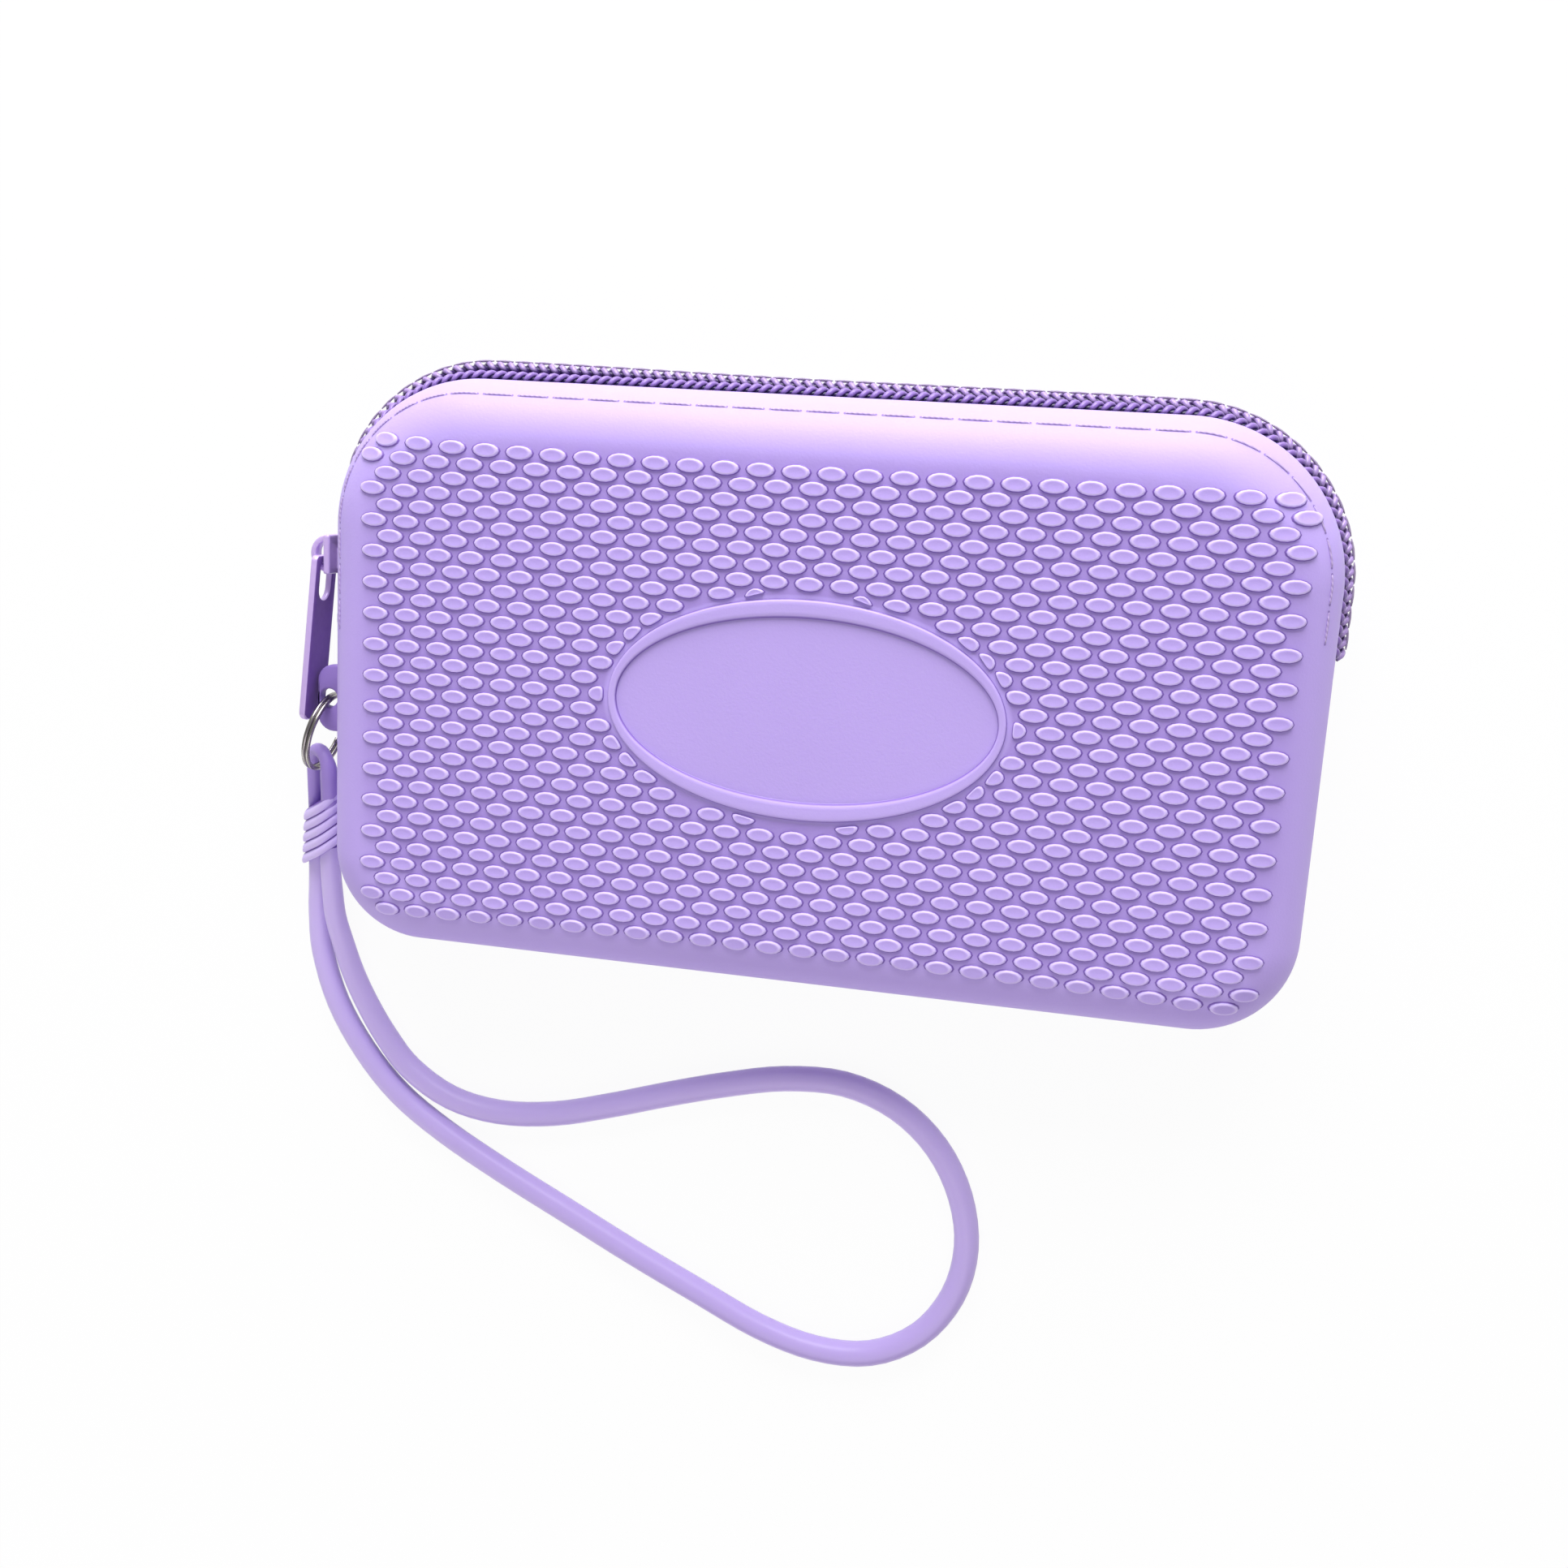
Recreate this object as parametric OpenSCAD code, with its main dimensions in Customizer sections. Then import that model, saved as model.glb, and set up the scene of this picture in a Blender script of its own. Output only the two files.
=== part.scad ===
// Keychain wallet: two moulded silicone shells closed by a coil zipper that runs round the
// top corners, with a side tab, a split ring and a wrist strap. The wallet lies on its back:
// X runs across it, Y runs up to the zipper side, Z comes out of the patterned face.
// The origin is the centre of the flat back face.

/* [Case] */
// Width of the case
case_w = 150; // [135:1:165]
// Height of the case, from the bottom edge to the zipper side
case_h = 88.5; // [82:0.5:96]
// Thickness between the two flat faces
case_t = 24; // [22:0.5:28]
// Radius of the two corners at the zipper side, seen from the front
top_corner_r = 23; // [20:0.5:26]
// Radius of the two bottom corners, seen from the front
bottom_corner_r = 15; // [13:0.5:18]
// Radius that rounds each face over into the side wall
shoulder_r = 9; // [7:0.5:9]
// Wall of the moulded shells
wall = 2; // [1.6:0.1:2.4]
// Gap between the shells along the seam below the zipper
seam_gap = 0.3; // [0.2:0.05:0.4]

/* [Grip pattern] */
// Distance between bumps in one row
bump_pitch = 5.1; // [4.8:0.1:5.4]
// Distance between rows
row_pitch = 2.35; // [2.3:0.05:2.5]
// Length of a bump
bump_l = 3.9; // [3.4:0.1:4]
// Width of a bump
bump_w = 2.15; // [1.8:0.05:2.3]
// Height of a bump above the face
bump_h = 0.45; // [0.3:0.05:0.6]
// Shift of the pattern and the oval to the right of the middle
pattern_x = 1.2; // [-1:0.1:1.4]
// Shift of the pattern and the oval up from the middle
pattern_y = -0.7; // [-1:0.1:1]
// Rows of bumps
bump_rows = 31; // [27:2:31]
// Bumps in the longest row
bump_columns = 27; // [23:2:27]

/* [Oval frame] */
// Length of the oval
oval_l = 58.8; // [50:0.1:64]
// Height of the oval
oval_w = 32.3; // [28:0.1:36]
// Band of the oval at its two ends
oval_end_band = 1.15; // [0.9:0.05:1.5]
// Band of the oval at its top and bottom
oval_side_band = 2.6; // [2:0.1:3]
// Height of the oval's band above the face
oval_h = 0.6; // [0.4:0.05:0.8]
// Bare strip between the oval and the nearest bump
oval_margin = 0.8; // [0.5:0.1:1.2]

/* [Zipper] */
// Width of the opening that the zipper fills, across both coils
band_w = 6; // [6:0.1:6.4]
// Radius of one coil row
coil_r = 1.2; // [1.1:0.05:1.2]
// Slot between the two coil rows
coil_slot = 0.8; // [0.7:0.05:0.9]
// How far the front coil stands out of the side wall
coil_out_front = 1.4; // [1.2:0.1:1.6]
// How far the back coil stands out of the side wall
coil_out_back = 2.4; // [2.2:0.1:2.5]
// Thickness of the woven tape
tape_t = 0.5; // [0.4:0.05:0.6]
// Width of tape sewn to the inside of a shell
tape_sewn_w = 3.4; // [2.5:0.1:4]
// Height above the middle of the case where the zipper ends on the left
left_end_y = 5; // [3:0.5:6]
// Height above the middle of the case where the zipper ends on the right
right_end_y = 9; // [6:0.5:12]
// Length of an end stop
stop_l = 2.2; // [1.8:0.1:2.4]

/* [Stitching] */
// Length of one stitch
stitch_l = 4.7; // [4:0.1:5.2]
// Space between stitches
stitch_space = 0.7; // [0.4:0.1:1]
// Radius of the thread
thread_r = 0.25; // [0.2:0.05:0.3]
// Distance of the stitch line from the outline of the case, seen from the front
stitch_inset = 2.4; // [2:0.05:3]

/* [Slider and pull] */
// Length of the slider
slider_l = 6.2; // [5.8:0.1:6.6]
// Height above the middle of the case of the slider's lower end
slider_y = 13; // [12.6:0.1:13.4]
// Thickness of the slider's outer plate
slider_plate_t = 1.1; // [0.9:0.1:1.2]
// Thickness of the slider's inner plate
slider_inner_t = 0.9; // [0.7:0.1:1.2]
// Thickness of the neck that joins the two plates through the slot
neck_t = 0.4; // [0.3:0.05:0.4]
// Height of the bridge above the slider
bridge_h = 3; // [2.9:0.1:3.3]
// Thickness of the bridge's strip
bridge_t = 0.9; // [0.8:0.05:0.95]
// Width of the bridge's strip
bridge_w = 2.2; // [1.8:0.1:2.6]
// Length of the pull, from its pivot bar
pull_l = 26; // [20:0.1:26.4]
// Width of the pull
pull_w = 7; // [6.4:0.1:7.4]
// Thickness of the pull
pull_t = 1.1; // [0.9:0.1:1.2]
// Radius of the pull's pivot bar
pull_bar_r = 0.65; // [0.5:0.05:0.65]
// Width of the pull's window
pull_window_w = 3.8; // [3.4:0.1:4.2]
// Length of the pull's window, from the pivot bar
pull_window_l = 6.6; // [6:0.1:7.5]
// Lean of the pull away from the wall, in degrees
pull_lean = 5; // [5:0.5:7]

/* [Side tab and ring] */
// Length of the tab along the wall
tab_l = 10.8; // [10:0.1:11.4]
// Height of the tab's middle, below the middle of the case
tab_drop = 7; // [6.8:0.1:7.2]
// How far the tab stands out of the wall
tab_out = 5.5; // [5.3:0.1:5.6]
// Thickness of the tab
tab_t = 2; // [1.6:0.1:2]
// Radius of the tab's hole
tab_hole_r = 1.5; // [1.5:0.05:1.6]
// Distance of the hole from the wall
tab_hole_out = 3.6; // [3.5:0.05:3.7]
// Radius of the split ring, to the middle of its wire
ring_r = 6.3; // [6.2:0.05:6.5]
// Radius of the ring's wire
ring_wire_r = 0.4; // [0.35:0.01:0.42]
// Turns of the ring are this far apart
ring_turn_pitch = 0.7; // [0.6:0.01:0.75]
// Turn of the ring away from the wall, in degrees
ring_yaw = 15; // [14:0.5:16]
// Slope of the ring down to the strap, in degrees
ring_pitch = 13; // [12:0.5:14]

/* [Wrist strap] */
// Diameter of the strap's cord
cord_d = 4.2; // [3.8:0.1:4.2]
// Diameter of the small eye's cord
eye_d = 2.3; // [2:0.1:2.4]
// Distance between the two legs of the eye
eye_w = 5.6; // [5.4:0.1:5.9]
// Length of the collar
collar_l = 14.4; // [13.6:0.1:15]
// Thickness of the collar's sleeve round the cord
sleeve_wall = 0.2; // [0.15:0.05:0.3]
// Height of the collar's ribs above the cord
collar_wall = 0.6; // [0.5:0.05:0.7]
// Slant of the collar's ribs, in degrees
rib_slant = 26; // [20:1:28]
// Number of ribs on the collar
collar_ribs = 5; // [3:1:6]
// Distance from the ring to the collar
collar_start = 4; // [4:0.1:4.4]
// Turn of the strap away from the wall, in degrees
strap_yaw = 4; // [3:0.5:5]
// Slope of the strap down to the surface, in degrees
strap_pitch = 12; // [11:0.5:12.5]
// Roll of the two strands round each other, in degrees
strap_roll = 37; // [35:1:39]

/* [Hidden] */
$fn = 96;

// Overrun of a cut past the face it opens
over = 1;
// Clearance between flat pieces that lie side by side
fit = 0.05;
// Clearance between pieces that move past each other
run_gap = 0.2;
// Gap between two soft bodies at rest
soft_gap = 0.3;
// Gap beside an end stop
stop_gap = 0.1;
// One millimetre, for the small lengths given as a number times it
unit = 1;
// Sides of the strap's tube and of a bump's outline
cord_sides = 8;
bump_sides = 8;
// Bow of the pattern on the soft face: how far its rows sag towards the closed edge at the long
// edges, close up from there, fan out at the ends, and droop and tilt at the short edges
row_sag = 1.6;
row_squeeze = 0.37;
row_fan = 1.53;
row_droop = 0.73;
row_tilt = 0.43;
// The same across: shift of the whole pattern, lean and spread of its columns, slide at the edges
column_shift = -0.14;
column_lean = 0.37;
column_spread = 0.84;
column_slide = 0.56;
// Rings of the tube in each stretch of its route
cord_steps = 2;
// Facets of the oval's outline
oval_sides = 96;

mid_z = case_t / 2;
// The face rounds over no deeper than the zipper's opening lets it
shoulder = min(shoulder_r, mid_z - band_w / 2);
shoulder_z = case_t - shoulder;
corner_x = case_w / 2 - top_corner_r;
corner_y = case_h / 2 - top_corner_r;
bottom_x = case_w / 2 - bottom_corner_r;
bottom_y = case_h / 2 - bottom_corner_r;
rim_z = mid_z + band_w / 2;
seam_z = mid_z + seam_gap / 2;

// Middle of a coil row, measured from the middle of the case
coil_z = coil_slot / 2 + coil_r;
coil_left_y = left_end_y + stop_l + 2 * stop_gap;
coil_right_y = right_end_y + stop_l + soft_gap;

// The mouth runs up the left side, over the top and down the right side
mouth_left = corner_y - left_end_y;
mouth_corner = PI * top_corner_r / 2;
mouth_top = 2 * corner_x;
mouth_right = corner_y - right_end_y;
mouth_length = mouth_left + 2 * mouth_corner + mouth_top + mouth_right;

// Plates of the slider, measured out from the wall
plate_in = coil_out_back + run_gap;
plate_out = plate_in + slider_plate_t;
inner_plate_out = -(wall + tape_t + 0.5 * unit);
slider_back = band_w / 2 + 0.7 * unit;
slider_front = band_w / 2 - run_gap;
neck_l = 3.2;
// Gap between the pull's bar and the plate
bar_gap = 0.45;
// The pull's bar lies in the lower corner between the bridge and the plate
bar_out = plate_out + pull_bar_r + bar_gap;
bar_drop = sqrt(pow(bridge_h - bridge_t - pull_bar_r - fit, 2) - pow(bar_out - plate_out, 2));
bar_y = slider_y + slider_l / 2 - bar_drop;
pull_corner_r = 1.6;
plate_corner_r = 0.8;
tab_corner_r = 2.6;
gusset_t = 0.8;

// Centre of the tab's hole and direction of the ring from there
hole_at = [-case_w / 2 - tab_hole_out, -tab_drop, mid_z];
ring_dir = [-sin(ring_yaw) * cos(ring_pitch), -cos(ring_yaw) * cos(ring_pitch), -sin(ring_pitch)];
// Point of the ring that carries the strap's eye
eye_at = hole_at + 2 * ring_r * ring_dir;
// Drop of the eye's bend below the ring's wire
eye_drop = 0.4;
// Distance between the middles of the two strands in the collar
strand_pitch = cord_d + 0.1 * unit;
// Groove between two ribs
rib_groove = 0.35;

// Directions along the two strands in the collar and from one strand to the other
down_dir = [-sin(strap_yaw) * cos(strap_pitch), -cos(strap_yaw) * cos(strap_pitch), -sin(strap_pitch)];
level_dir = [cos(strap_yaw), -sin(strap_yaw), 0];
strand_dir = cos(strap_roll) * level_dir + sin(strap_roll) * cross(level_dir, -down_dir);
collar_end = eye_at + (collar_start + collar_l) * down_dir;
// Height of the cord's middle where it lies on the surface
lying_z = cord_d / 2 * cos(180 / cord_sides);

// Route of the wrist strap from the collar round the loop and back: across and along from the
// collar's end, and the share of the collar's height that is left
strap_points = [
  [1.5, -4.6, 1.06], [1.6, -9.4, 0.77], [2.5, -14.3, 0.46], [4, -19.8, 0.2], [6.4, -25.3, 0.04],
  [9.9, -30.9, 0], [14.5, -36.2, 0], [22, -40.6, 0], [31, -42.1, 0], [41, -41, 0],
  [51, -38.1, 0], [61, -34.7, 0], [71, -31.6, 0], [81, -29.2, 0], [91, -28.8, 0], [100, -31.8, 0],
  [107, -37.7, 0], [111.5, -45.7, 0], [113.2, -54.7, 0], [111.6, -63.7, 0], [106.5, -71.6, 0],
  [98.5, -76.4, 0], [89, -77.1, 0], [79, -74.7, 0], [68, -69.9, 0], [56, -64.5, 0],
  [44, -58.7, 0], [32, -52.9, 0], [21, -47, 0], [12.5, -41.1, 0], [6, -34, 0],
  [0.9, -25.7, 0], [-2, -16.7, 0.02], [-2.5, -9.4, 0.14], [-2.1, -4.2, 0.38]
];
strap_route = [
  collar_end + strand_pitch / 2 * strand_dir,
  for (p = strap_points)
    [collar_end.x + p.x, collar_end.y + p.y, lying_z + p.z * (collar_end.z - lying_z)],
  collar_end - strand_pitch / 2 * strand_dir
];

// Rectangle with round corners, whose two upper and two lower corners have their own radius
module round_plan(w, h, upper_r, lower_r) {
  union() {
    translate([-w / 2 + upper_r, 0]) square([w - 2 * upper_r, h / 2]);
    translate([-w / 2, 0]) square([w, h / 2 - upper_r]);
    for (side = [-1, 1]) translate([side * (w / 2 - upper_r), h / 2 - upper_r]) circle(r = upper_r);
    translate([-w / 2 + lower_r, -h / 2]) square([w - 2 * lower_r, h / 2]);
    translate([-w / 2, -h / 2 + lower_r]) square([w, h / 2 - lower_r]);
    for (side = [-1, 1]) translate([side * (w / 2 - lower_r), -h / 2 + lower_r]) circle(r = lower_r);
  }
}

// Runs a section up the right wall; the section's x points out of the case and its y is height
module right_run(low_y, high_y) {
  translate([case_w / 2, high_y, 0]) rotate([90, 0, 0]) linear_extrude(high_y - low_y) children();
}

module left_run(low_y, high_y) {
  mirror([1, 0, 0]) right_run(low_y, high_y) children();
}

// Runs a section along the top edge
module top_run(half_l) {
  translate([-half_l, case_h / 2, 0]) rotate([90, 0, 90]) linear_extrude(2 * half_l) children();
}

module bottom_run(half_l) {
  mirror([0, 1, 0]) top_run(half_l) children();
}

// Turns a section round one corner of the case, counted anticlockwise from the upper right one
module corner_turn(quarter, r) {
  x = (quarter == 0 || quarter == 3 ? 1 : -1) * (case_w / 2 - r);
  y = (quarter < 2 ? 1 : -1) * (case_h / 2 - r);
  translate([x, y, 0]) rotate([0, 0, 90 * quarter])
    rotate_extrude(angle = 90) translate([r, 0]) children();
}

// Runs a section along the zipper, from the left end over the top to the right end
module mouth_run(left_y, right_y) {
  left_run(left_y, corner_y) children();
  corner_turn(1, top_corner_r) children();
  top_run(corner_x) children();
  corner_turn(0, top_corner_r) children();
  right_run(right_y, corner_y) children();
}

// Runs a section along the closed seam, down the left side, along the bottom and up the right
module seam_run(left_y, right_y) {
  left_run(-bottom_y, left_y) children();
  corner_turn(2, bottom_corner_r) children();
  bottom_run(bottom_x) children();
  corner_turn(3, bottom_corner_r) children();
  right_run(-bottom_y, right_y) children();
}

// Puts a child on the mouth at a distance from its left end: its x runs along, its y points out
module on_mouth(s) {
  s1 = s - mouth_left;
  s2 = s1 - mouth_corner;
  s3 = s2 - mouth_top;
  s4 = s3 - mouth_corner;
  if (s1 < 0) translate([-case_w / 2, left_end_y + s, 0]) rotate([0, 0, 90]) children();
  else if (s2 < 0) translate([-corner_x, corner_y, 0]) rotate([0, 0, 90 - 90 * s1 / mouth_corner])
    translate([0, top_corner_r, 0]) children();
  else if (s3 < 0) translate([-corner_x + s2, case_h / 2, 0]) children();
  else if (s4 < 0) translate([corner_x, corner_y, 0]) rotate([0, 0, -90 * s3 / mouth_corner])
    translate([0, top_corner_r, 0]) children();
  else translate([case_w / 2, corner_y - s4, 0]) rotate([0, 0, -90]) children();
}

// Space inside the outer surface of the front half, drawn in by a depth
module hollow_section(depth) {
  translate([-shoulder, 0]) square([shoulder - depth, shoulder_z]);
  translate([-shoulder, shoulder_z]) circle(r = shoulder - depth);
}

// Section of the front half's wall above a given height
module wall_section(low_z) {
  intersection() {
    difference() {
      hollow_section(0);
      hollow_section(wall);
    }
    translate([-shoulder, low_z]) square([shoulder + over, case_t]);
  }
}

// One half of the case, as the front one lies
module half_shell() {
  union() {
    mouth_run(left_end_y, right_end_y) wall_section(rim_z);
    seam_run(left_end_y, right_end_y) wall_section(seam_z);
    translate([0, 0, case_t - wall]) linear_extrude(wall)
      round_plan(case_w - 2 * shoulder, case_h - 2 * shoulder,
        top_corner_r - shoulder, bottom_corner_r - shoulder);
  }
}

// Turns a piece of the front half into that of the back half
module to_back() {
  translate([0, 0, case_t]) mirror([0, 0, 1]) children();
}

// Slot in the left wall that the side tab passes through
module tab_slot(gap, clear_z) {
  translate([-case_w / 2 - over, -tab_drop - tab_l / 2 - gap, mid_z - tab_t / 2 - clear_z])
    cube([wall + 2 * over, tab_l + 2 * gap, tab_t + 2 * clear_z]);
}

module back_shell() {
  color([0.75, 0.67, 0.91]) difference() {
    to_back() half_shell();
    tab_slot(0, 0);
  }
}

module front_shell() {
  color([0.77, 0.69, 0.93]) difference() {
    half_shell();
    tab_slot(soft_gap, soft_gap);
  }
}

// Distance from the oval's middle, 1 on its outer edge grown by a margin
function oval_share(x, y, margin) =
  sqrt(pow(x / (oval_l / 2 + margin), 2) + pow(y / (oval_w / 2 + margin), 2));

// How far a point lies past the flat part of the face
function past_flat(x, y) =
  let (r = (y > 0 ? top_corner_r : bottom_corner_r) - shoulder)
  let (dx = abs(x) - (case_w / 2 - shoulder - r), dy = abs(y) - (case_h / 2 - shoulder - r))
  norm([max(dx, 0), max(dy, 0)]) - r;

// Place of a bump on the bowed pattern
function bowed(x, y) =
  let (u = 2 * x / case_w, v = 2 * y / case_h)
  [x + column_shift + column_lean * u * v + (column_spread * u - column_slide) * pow(v, 2),
    y - row_sag * pow(v, 2) - row_squeeze * v + row_fan * pow(u, 2) * v
      - row_droop * pow(u, 4) - row_tilt * pow(u, 3)];

// Pattern of flat oval bumps in staggered rows, left out round the oval
module grip_bumps() {
  half_rows = (bump_rows - 1) / 2;
  color([0.72, 0.63, 0.9]) translate([0, 0, case_t]) linear_extrude(bump_h)
    for (row = [-half_rows : half_rows]) {
      count = (row + half_rows) % 2 == 0 ? bump_columns - 1 : bump_columns;
      for (i = [0 : count - 1]) {
        at = bowed(pattern_x + (i - (count - 1) / 2) * bump_pitch, pattern_y + row * row_pitch);
        share = oval_share(at[0] - pattern_x, at[1] - pattern_y, oval_margin + bump_l / 2);
        if (past_flat(at[0], at[1]) < bump_w / 2 && share > 1)
          translate(at) polygon([for (k = [0 : bump_sides - 1])
            [bump_l / 2 * cos(360 * k / bump_sides), bump_w / 2 * sin(360 * k / bump_sides)]]);
      }
    }
}

module oval_outline(l, w) {
  polygon([for (k = [0 : oval_sides - 1])
    [l / 2 * cos(360 * k / oval_sides), w / 2 * sin(360 * k / oval_sides)]]);
}

module oval_frame() {
  color([0.74, 0.65, 0.92]) translate([pattern_x, pattern_y, case_t]) linear_extrude(oval_h) difference() {
    oval_outline(oval_l, oval_w);
    oval_outline(oval_l - 2 * oval_end_band, oval_w - 2 * oval_side_band);
  }
}

// Thin fold of silicone inside the closed seam, bonded to the back shell and free of the front
module gusset_section() {
  low_z = case_t - rim_z;
  step_z = mid_z - seam_gap - 2 * fit;
  polygon([
    [-wall - fit, low_z], [-wall - fit, step_z], [-wall - soft_gap, step_z + soft_gap],
    [-wall - soft_gap, rim_z], [-wall - soft_gap - gusset_t, rim_z],
    [-wall - soft_gap - gusset_t, low_z]
  ]);
}

module seam_gusset() {
  color([0.66, 0.57, 0.85]) seam_run(left_end_y - over, right_end_y - over) gusset_section();
}

// Woven tape: one edge carries the coil, the other is sewn inside the shell
module tape_section(coil_out) {
  edge = coil_out - 2 * coil_r - 2 * fit;
  turn = -wall - fit;
  flap_low = mid_z + coil_slot / 2 + fit;
  flap_high = rim_z - run_gap;
  union() {
    intersection() {
      difference() {
        hollow_section(wall + fit);
        hollow_section(wall + fit + tape_t);
      }
      translate([-shoulder, flap_high - tape_t]) square([shoulder, tape_sewn_w + tape_t]);
    }
    polygon([
      [edge, flap_low], [edge, mid_z + coil_z], [turn, flap_high],
      [turn - tape_t, flap_high], [turn - tape_t, flap_high - tape_t],
      [edge - tape_t, mid_z + coil_z - tape_t], [edge - tape_t, flap_low]
    ]);
  }
}

module back_tape() {
  color([0.42, 0.3, 0.62]) to_back()
    mouth_run(left_end_y + fit, coil_right_y) tape_section(coil_out_back);
}

module front_tape() {
  color([0.42, 0.3, 0.62]) mouth_run(left_end_y + fit, coil_right_y)
    tape_section(coil_out_front);
}

// One row of the zipper's coil, as a smooth bead of its outer size
module coil_row(out) {
  mouth_run(coil_left_y, coil_right_y) translate([out - coil_r, mid_z + coil_z]) circle(r = coil_r);
}

module back_coil() {
  color([0.55, 0.42, 0.75]) to_back() coil_row(coil_out_back);
}

module front_coil() {
  color([0.55, 0.42, 0.75]) coil_row(coil_out_front);
}

// Line of single stitches along the rounded edge of the front half
module stitch_line() {
  pitch = stitch_l + stitch_space;
  count = floor(mouth_length / pitch);
  lean = acos(1 - stitch_inset / shoulder);
  reach = shoulder + thread_r + 2 * fit;
  for (i = [0 : count - 1]) on_mouth(pitch / 2 + i * pitch)
    translate([-stitch_l / 2, -shoulder + reach * cos(lean), shoulder_z + reach * sin(lean)])
      rotate([0, 90, 0]) cylinder(r = thread_r, h = stitch_l, $fn = 16);
}

module back_stitching() {
  color([0.62, 0.52, 0.82]) to_back() stitch_line();
}

module front_stitching() {
  color([0.62, 0.52, 0.82]) stitch_line();
}

// Crimped stop at the end of one coil row
module end_stop(out) {
  translate([-case_w / 2 - out, left_end_y + stop_gap, mid_z + coil_slot / 2])
    cube([2 * coil_r, stop_l, 2 * coil_r]);
}

module left_stop_back() {
  color([0.7, 0.6, 0.85]) to_back() end_stop(coil_out_back);
}

module left_stop_front() {
  color([0.7, 0.6, 0.85]) end_stop(coil_out_front);
}

// Block that fills the end of the opening where the zipper ends on the right
module right_stop() {
  color([0.7, 0.6, 0.85])
    translate([case_w / 2 - wall, right_end_y + fit, mid_z - coil_z - coil_r])
      cube([wall, stop_l, 2 * (coil_z + coil_r)]);
}

// Places the slider's pieces on the left wall: x points out of the case
module on_left_wall() {
  translate([-case_w / 2, 0, 0]) mirror([1, 0, 0]) children();
}

module slider_body() {
  color([0.75, 0.66, 0.88]) on_left_wall() union() {
    translate([plate_in, slider_y, mid_z - slider_back]) rotate([90, 0, 90])
      linear_extrude(slider_plate_t) translate([slider_l / 2, (slider_back + slider_front) / 2])
        round_plan(slider_l, slider_back + slider_front, plate_corner_r, plate_corner_r);
    translate([fit, slider_y + plate_corner_r, mid_z - slider_back])
      cube([plate_in, slider_l - 2 * plate_corner_r, slider_back - band_w / 2 - fit]);
    translate([inner_plate_out - fit, slider_y + plate_corner_r, mid_z - neck_t / 2])
      cube([plate_in - inner_plate_out + 2 * fit, neck_l, neck_t]);
    translate([inner_plate_out - slider_inner_t, slider_y, mid_z - slider_front]) rotate([90, 0, 90])
      linear_extrude(slider_inner_t) translate([slider_l / 2, slider_front])
        round_plan(slider_l, 2 * slider_front, plate_corner_r, plate_corner_r);
  }
}

// Arch that the pull hangs from
module slider_bridge() {
  color([0.72, 0.62, 0.86]) on_left_wall()
    translate([plate_out, slider_y + slider_l / 2, mid_z - bridge_w / 2]) linear_extrude(bridge_w)
      intersection() {
        difference() {
          circle(r = bridge_h);
          circle(r = bridge_h - bridge_t);
        }
        translate([0, -bridge_h]) square([bridge_h, 2 * bridge_h]);
      }
}

module pull_tab() {
  color([0.7, 0.6, 0.86]) on_left_wall() translate([bar_out, bar_y, mid_z])
    rotate([0, 0, pull_lean]) union() {
      translate([0, 0, -pull_w / 2]) cylinder(r = pull_bar_r, h = pull_w);
      translate([-pull_t / 2, 0, 0]) rotate([90, 0, 90]) linear_extrude(pull_t) difference() {
        union() {
          translate([-pull_l, -pull_w / 2 + pull_corner_r])
            square([pull_l, pull_w - 2 * pull_corner_r]);
          translate([-pull_l + pull_corner_r, -pull_w / 2])
            square([pull_l - pull_corner_r, pull_w]);
          for (side = [-1, 1])
            translate([-pull_l + pull_corner_r, side * (pull_w / 2 - pull_corner_r)])
              circle(r = pull_corner_r);
        }
        translate([-pull_window_l + pull_window_w / 2, 0]) circle(d = pull_window_w);
        translate([-pull_window_l + pull_window_w / 2, -pull_window_w / 2])
          square([pull_window_l, pull_window_w]);
      }
    }
}

// Moulded tab held in the seam, with a hole for the split ring
module side_tab() {
  color([0.6, 0.48, 0.8]) on_left_wall()
    translate([0, -tab_drop, mid_z - tab_t / 2]) linear_extrude(tab_t) difference() {
      union() {
        translate([-wall + fit, -tab_l / 2]) square([tab_out + wall - fit - tab_corner_r, tab_l]);
        translate([0, -tab_l / 2 + tab_corner_r]) square([tab_out, tab_l - 2 * tab_corner_r]);
        for (side = [-1, 1])
          translate([tab_out - tab_corner_r, side * (tab_l / 2 - tab_corner_r)])
            circle(r = tab_corner_r);
      }
      translate([tab_hole_out, 0]) circle(r = tab_hole_r);
    }
}

// Two turns of steel wire, hung through the tab's hole
module split_ring() {
  color([0.7, 0.7, 0.7]) translate(hole_at) rotate([0, 0, -ring_yaw]) rotate([ring_pitch, 0, 0])
    translate([0, -ring_r, 0]) rotate([0, 90, 0]) rotate_extrude() union() {
      translate([ring_r, ring_turn_pitch / 2]) circle(r = ring_wire_r, $fn = 32);
      translate([ring_r, -ring_turn_pitch / 2]) circle(r = ring_wire_r, $fn = 32);
    }
}

// Frame of the strap at the ring: its negative y runs down the two strands
module at_ring() {
  translate(eye_at) rotate([0, 0, -strap_yaw]) rotate([strap_pitch, 0, 0])
    rotate([0, -strap_roll, 0]) children();
}

module strap_eye() {
  leg_l = collar_start - eye_drop;
  color([0.62, 0.5, 0.82]) at_ring() translate([0, -eye_drop, 0]) union() {
    rotate_extrude(angle = 180) translate([eye_w / 2, 0]) circle(d = eye_d, $fn = 48);
    for (side = [-1, 1]) translate([side * eye_w / 2, 0, 0]) rotate([90, 0, 0])
      cylinder(d = eye_d, h = leg_l, $fn = 48);
  }
}

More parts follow.
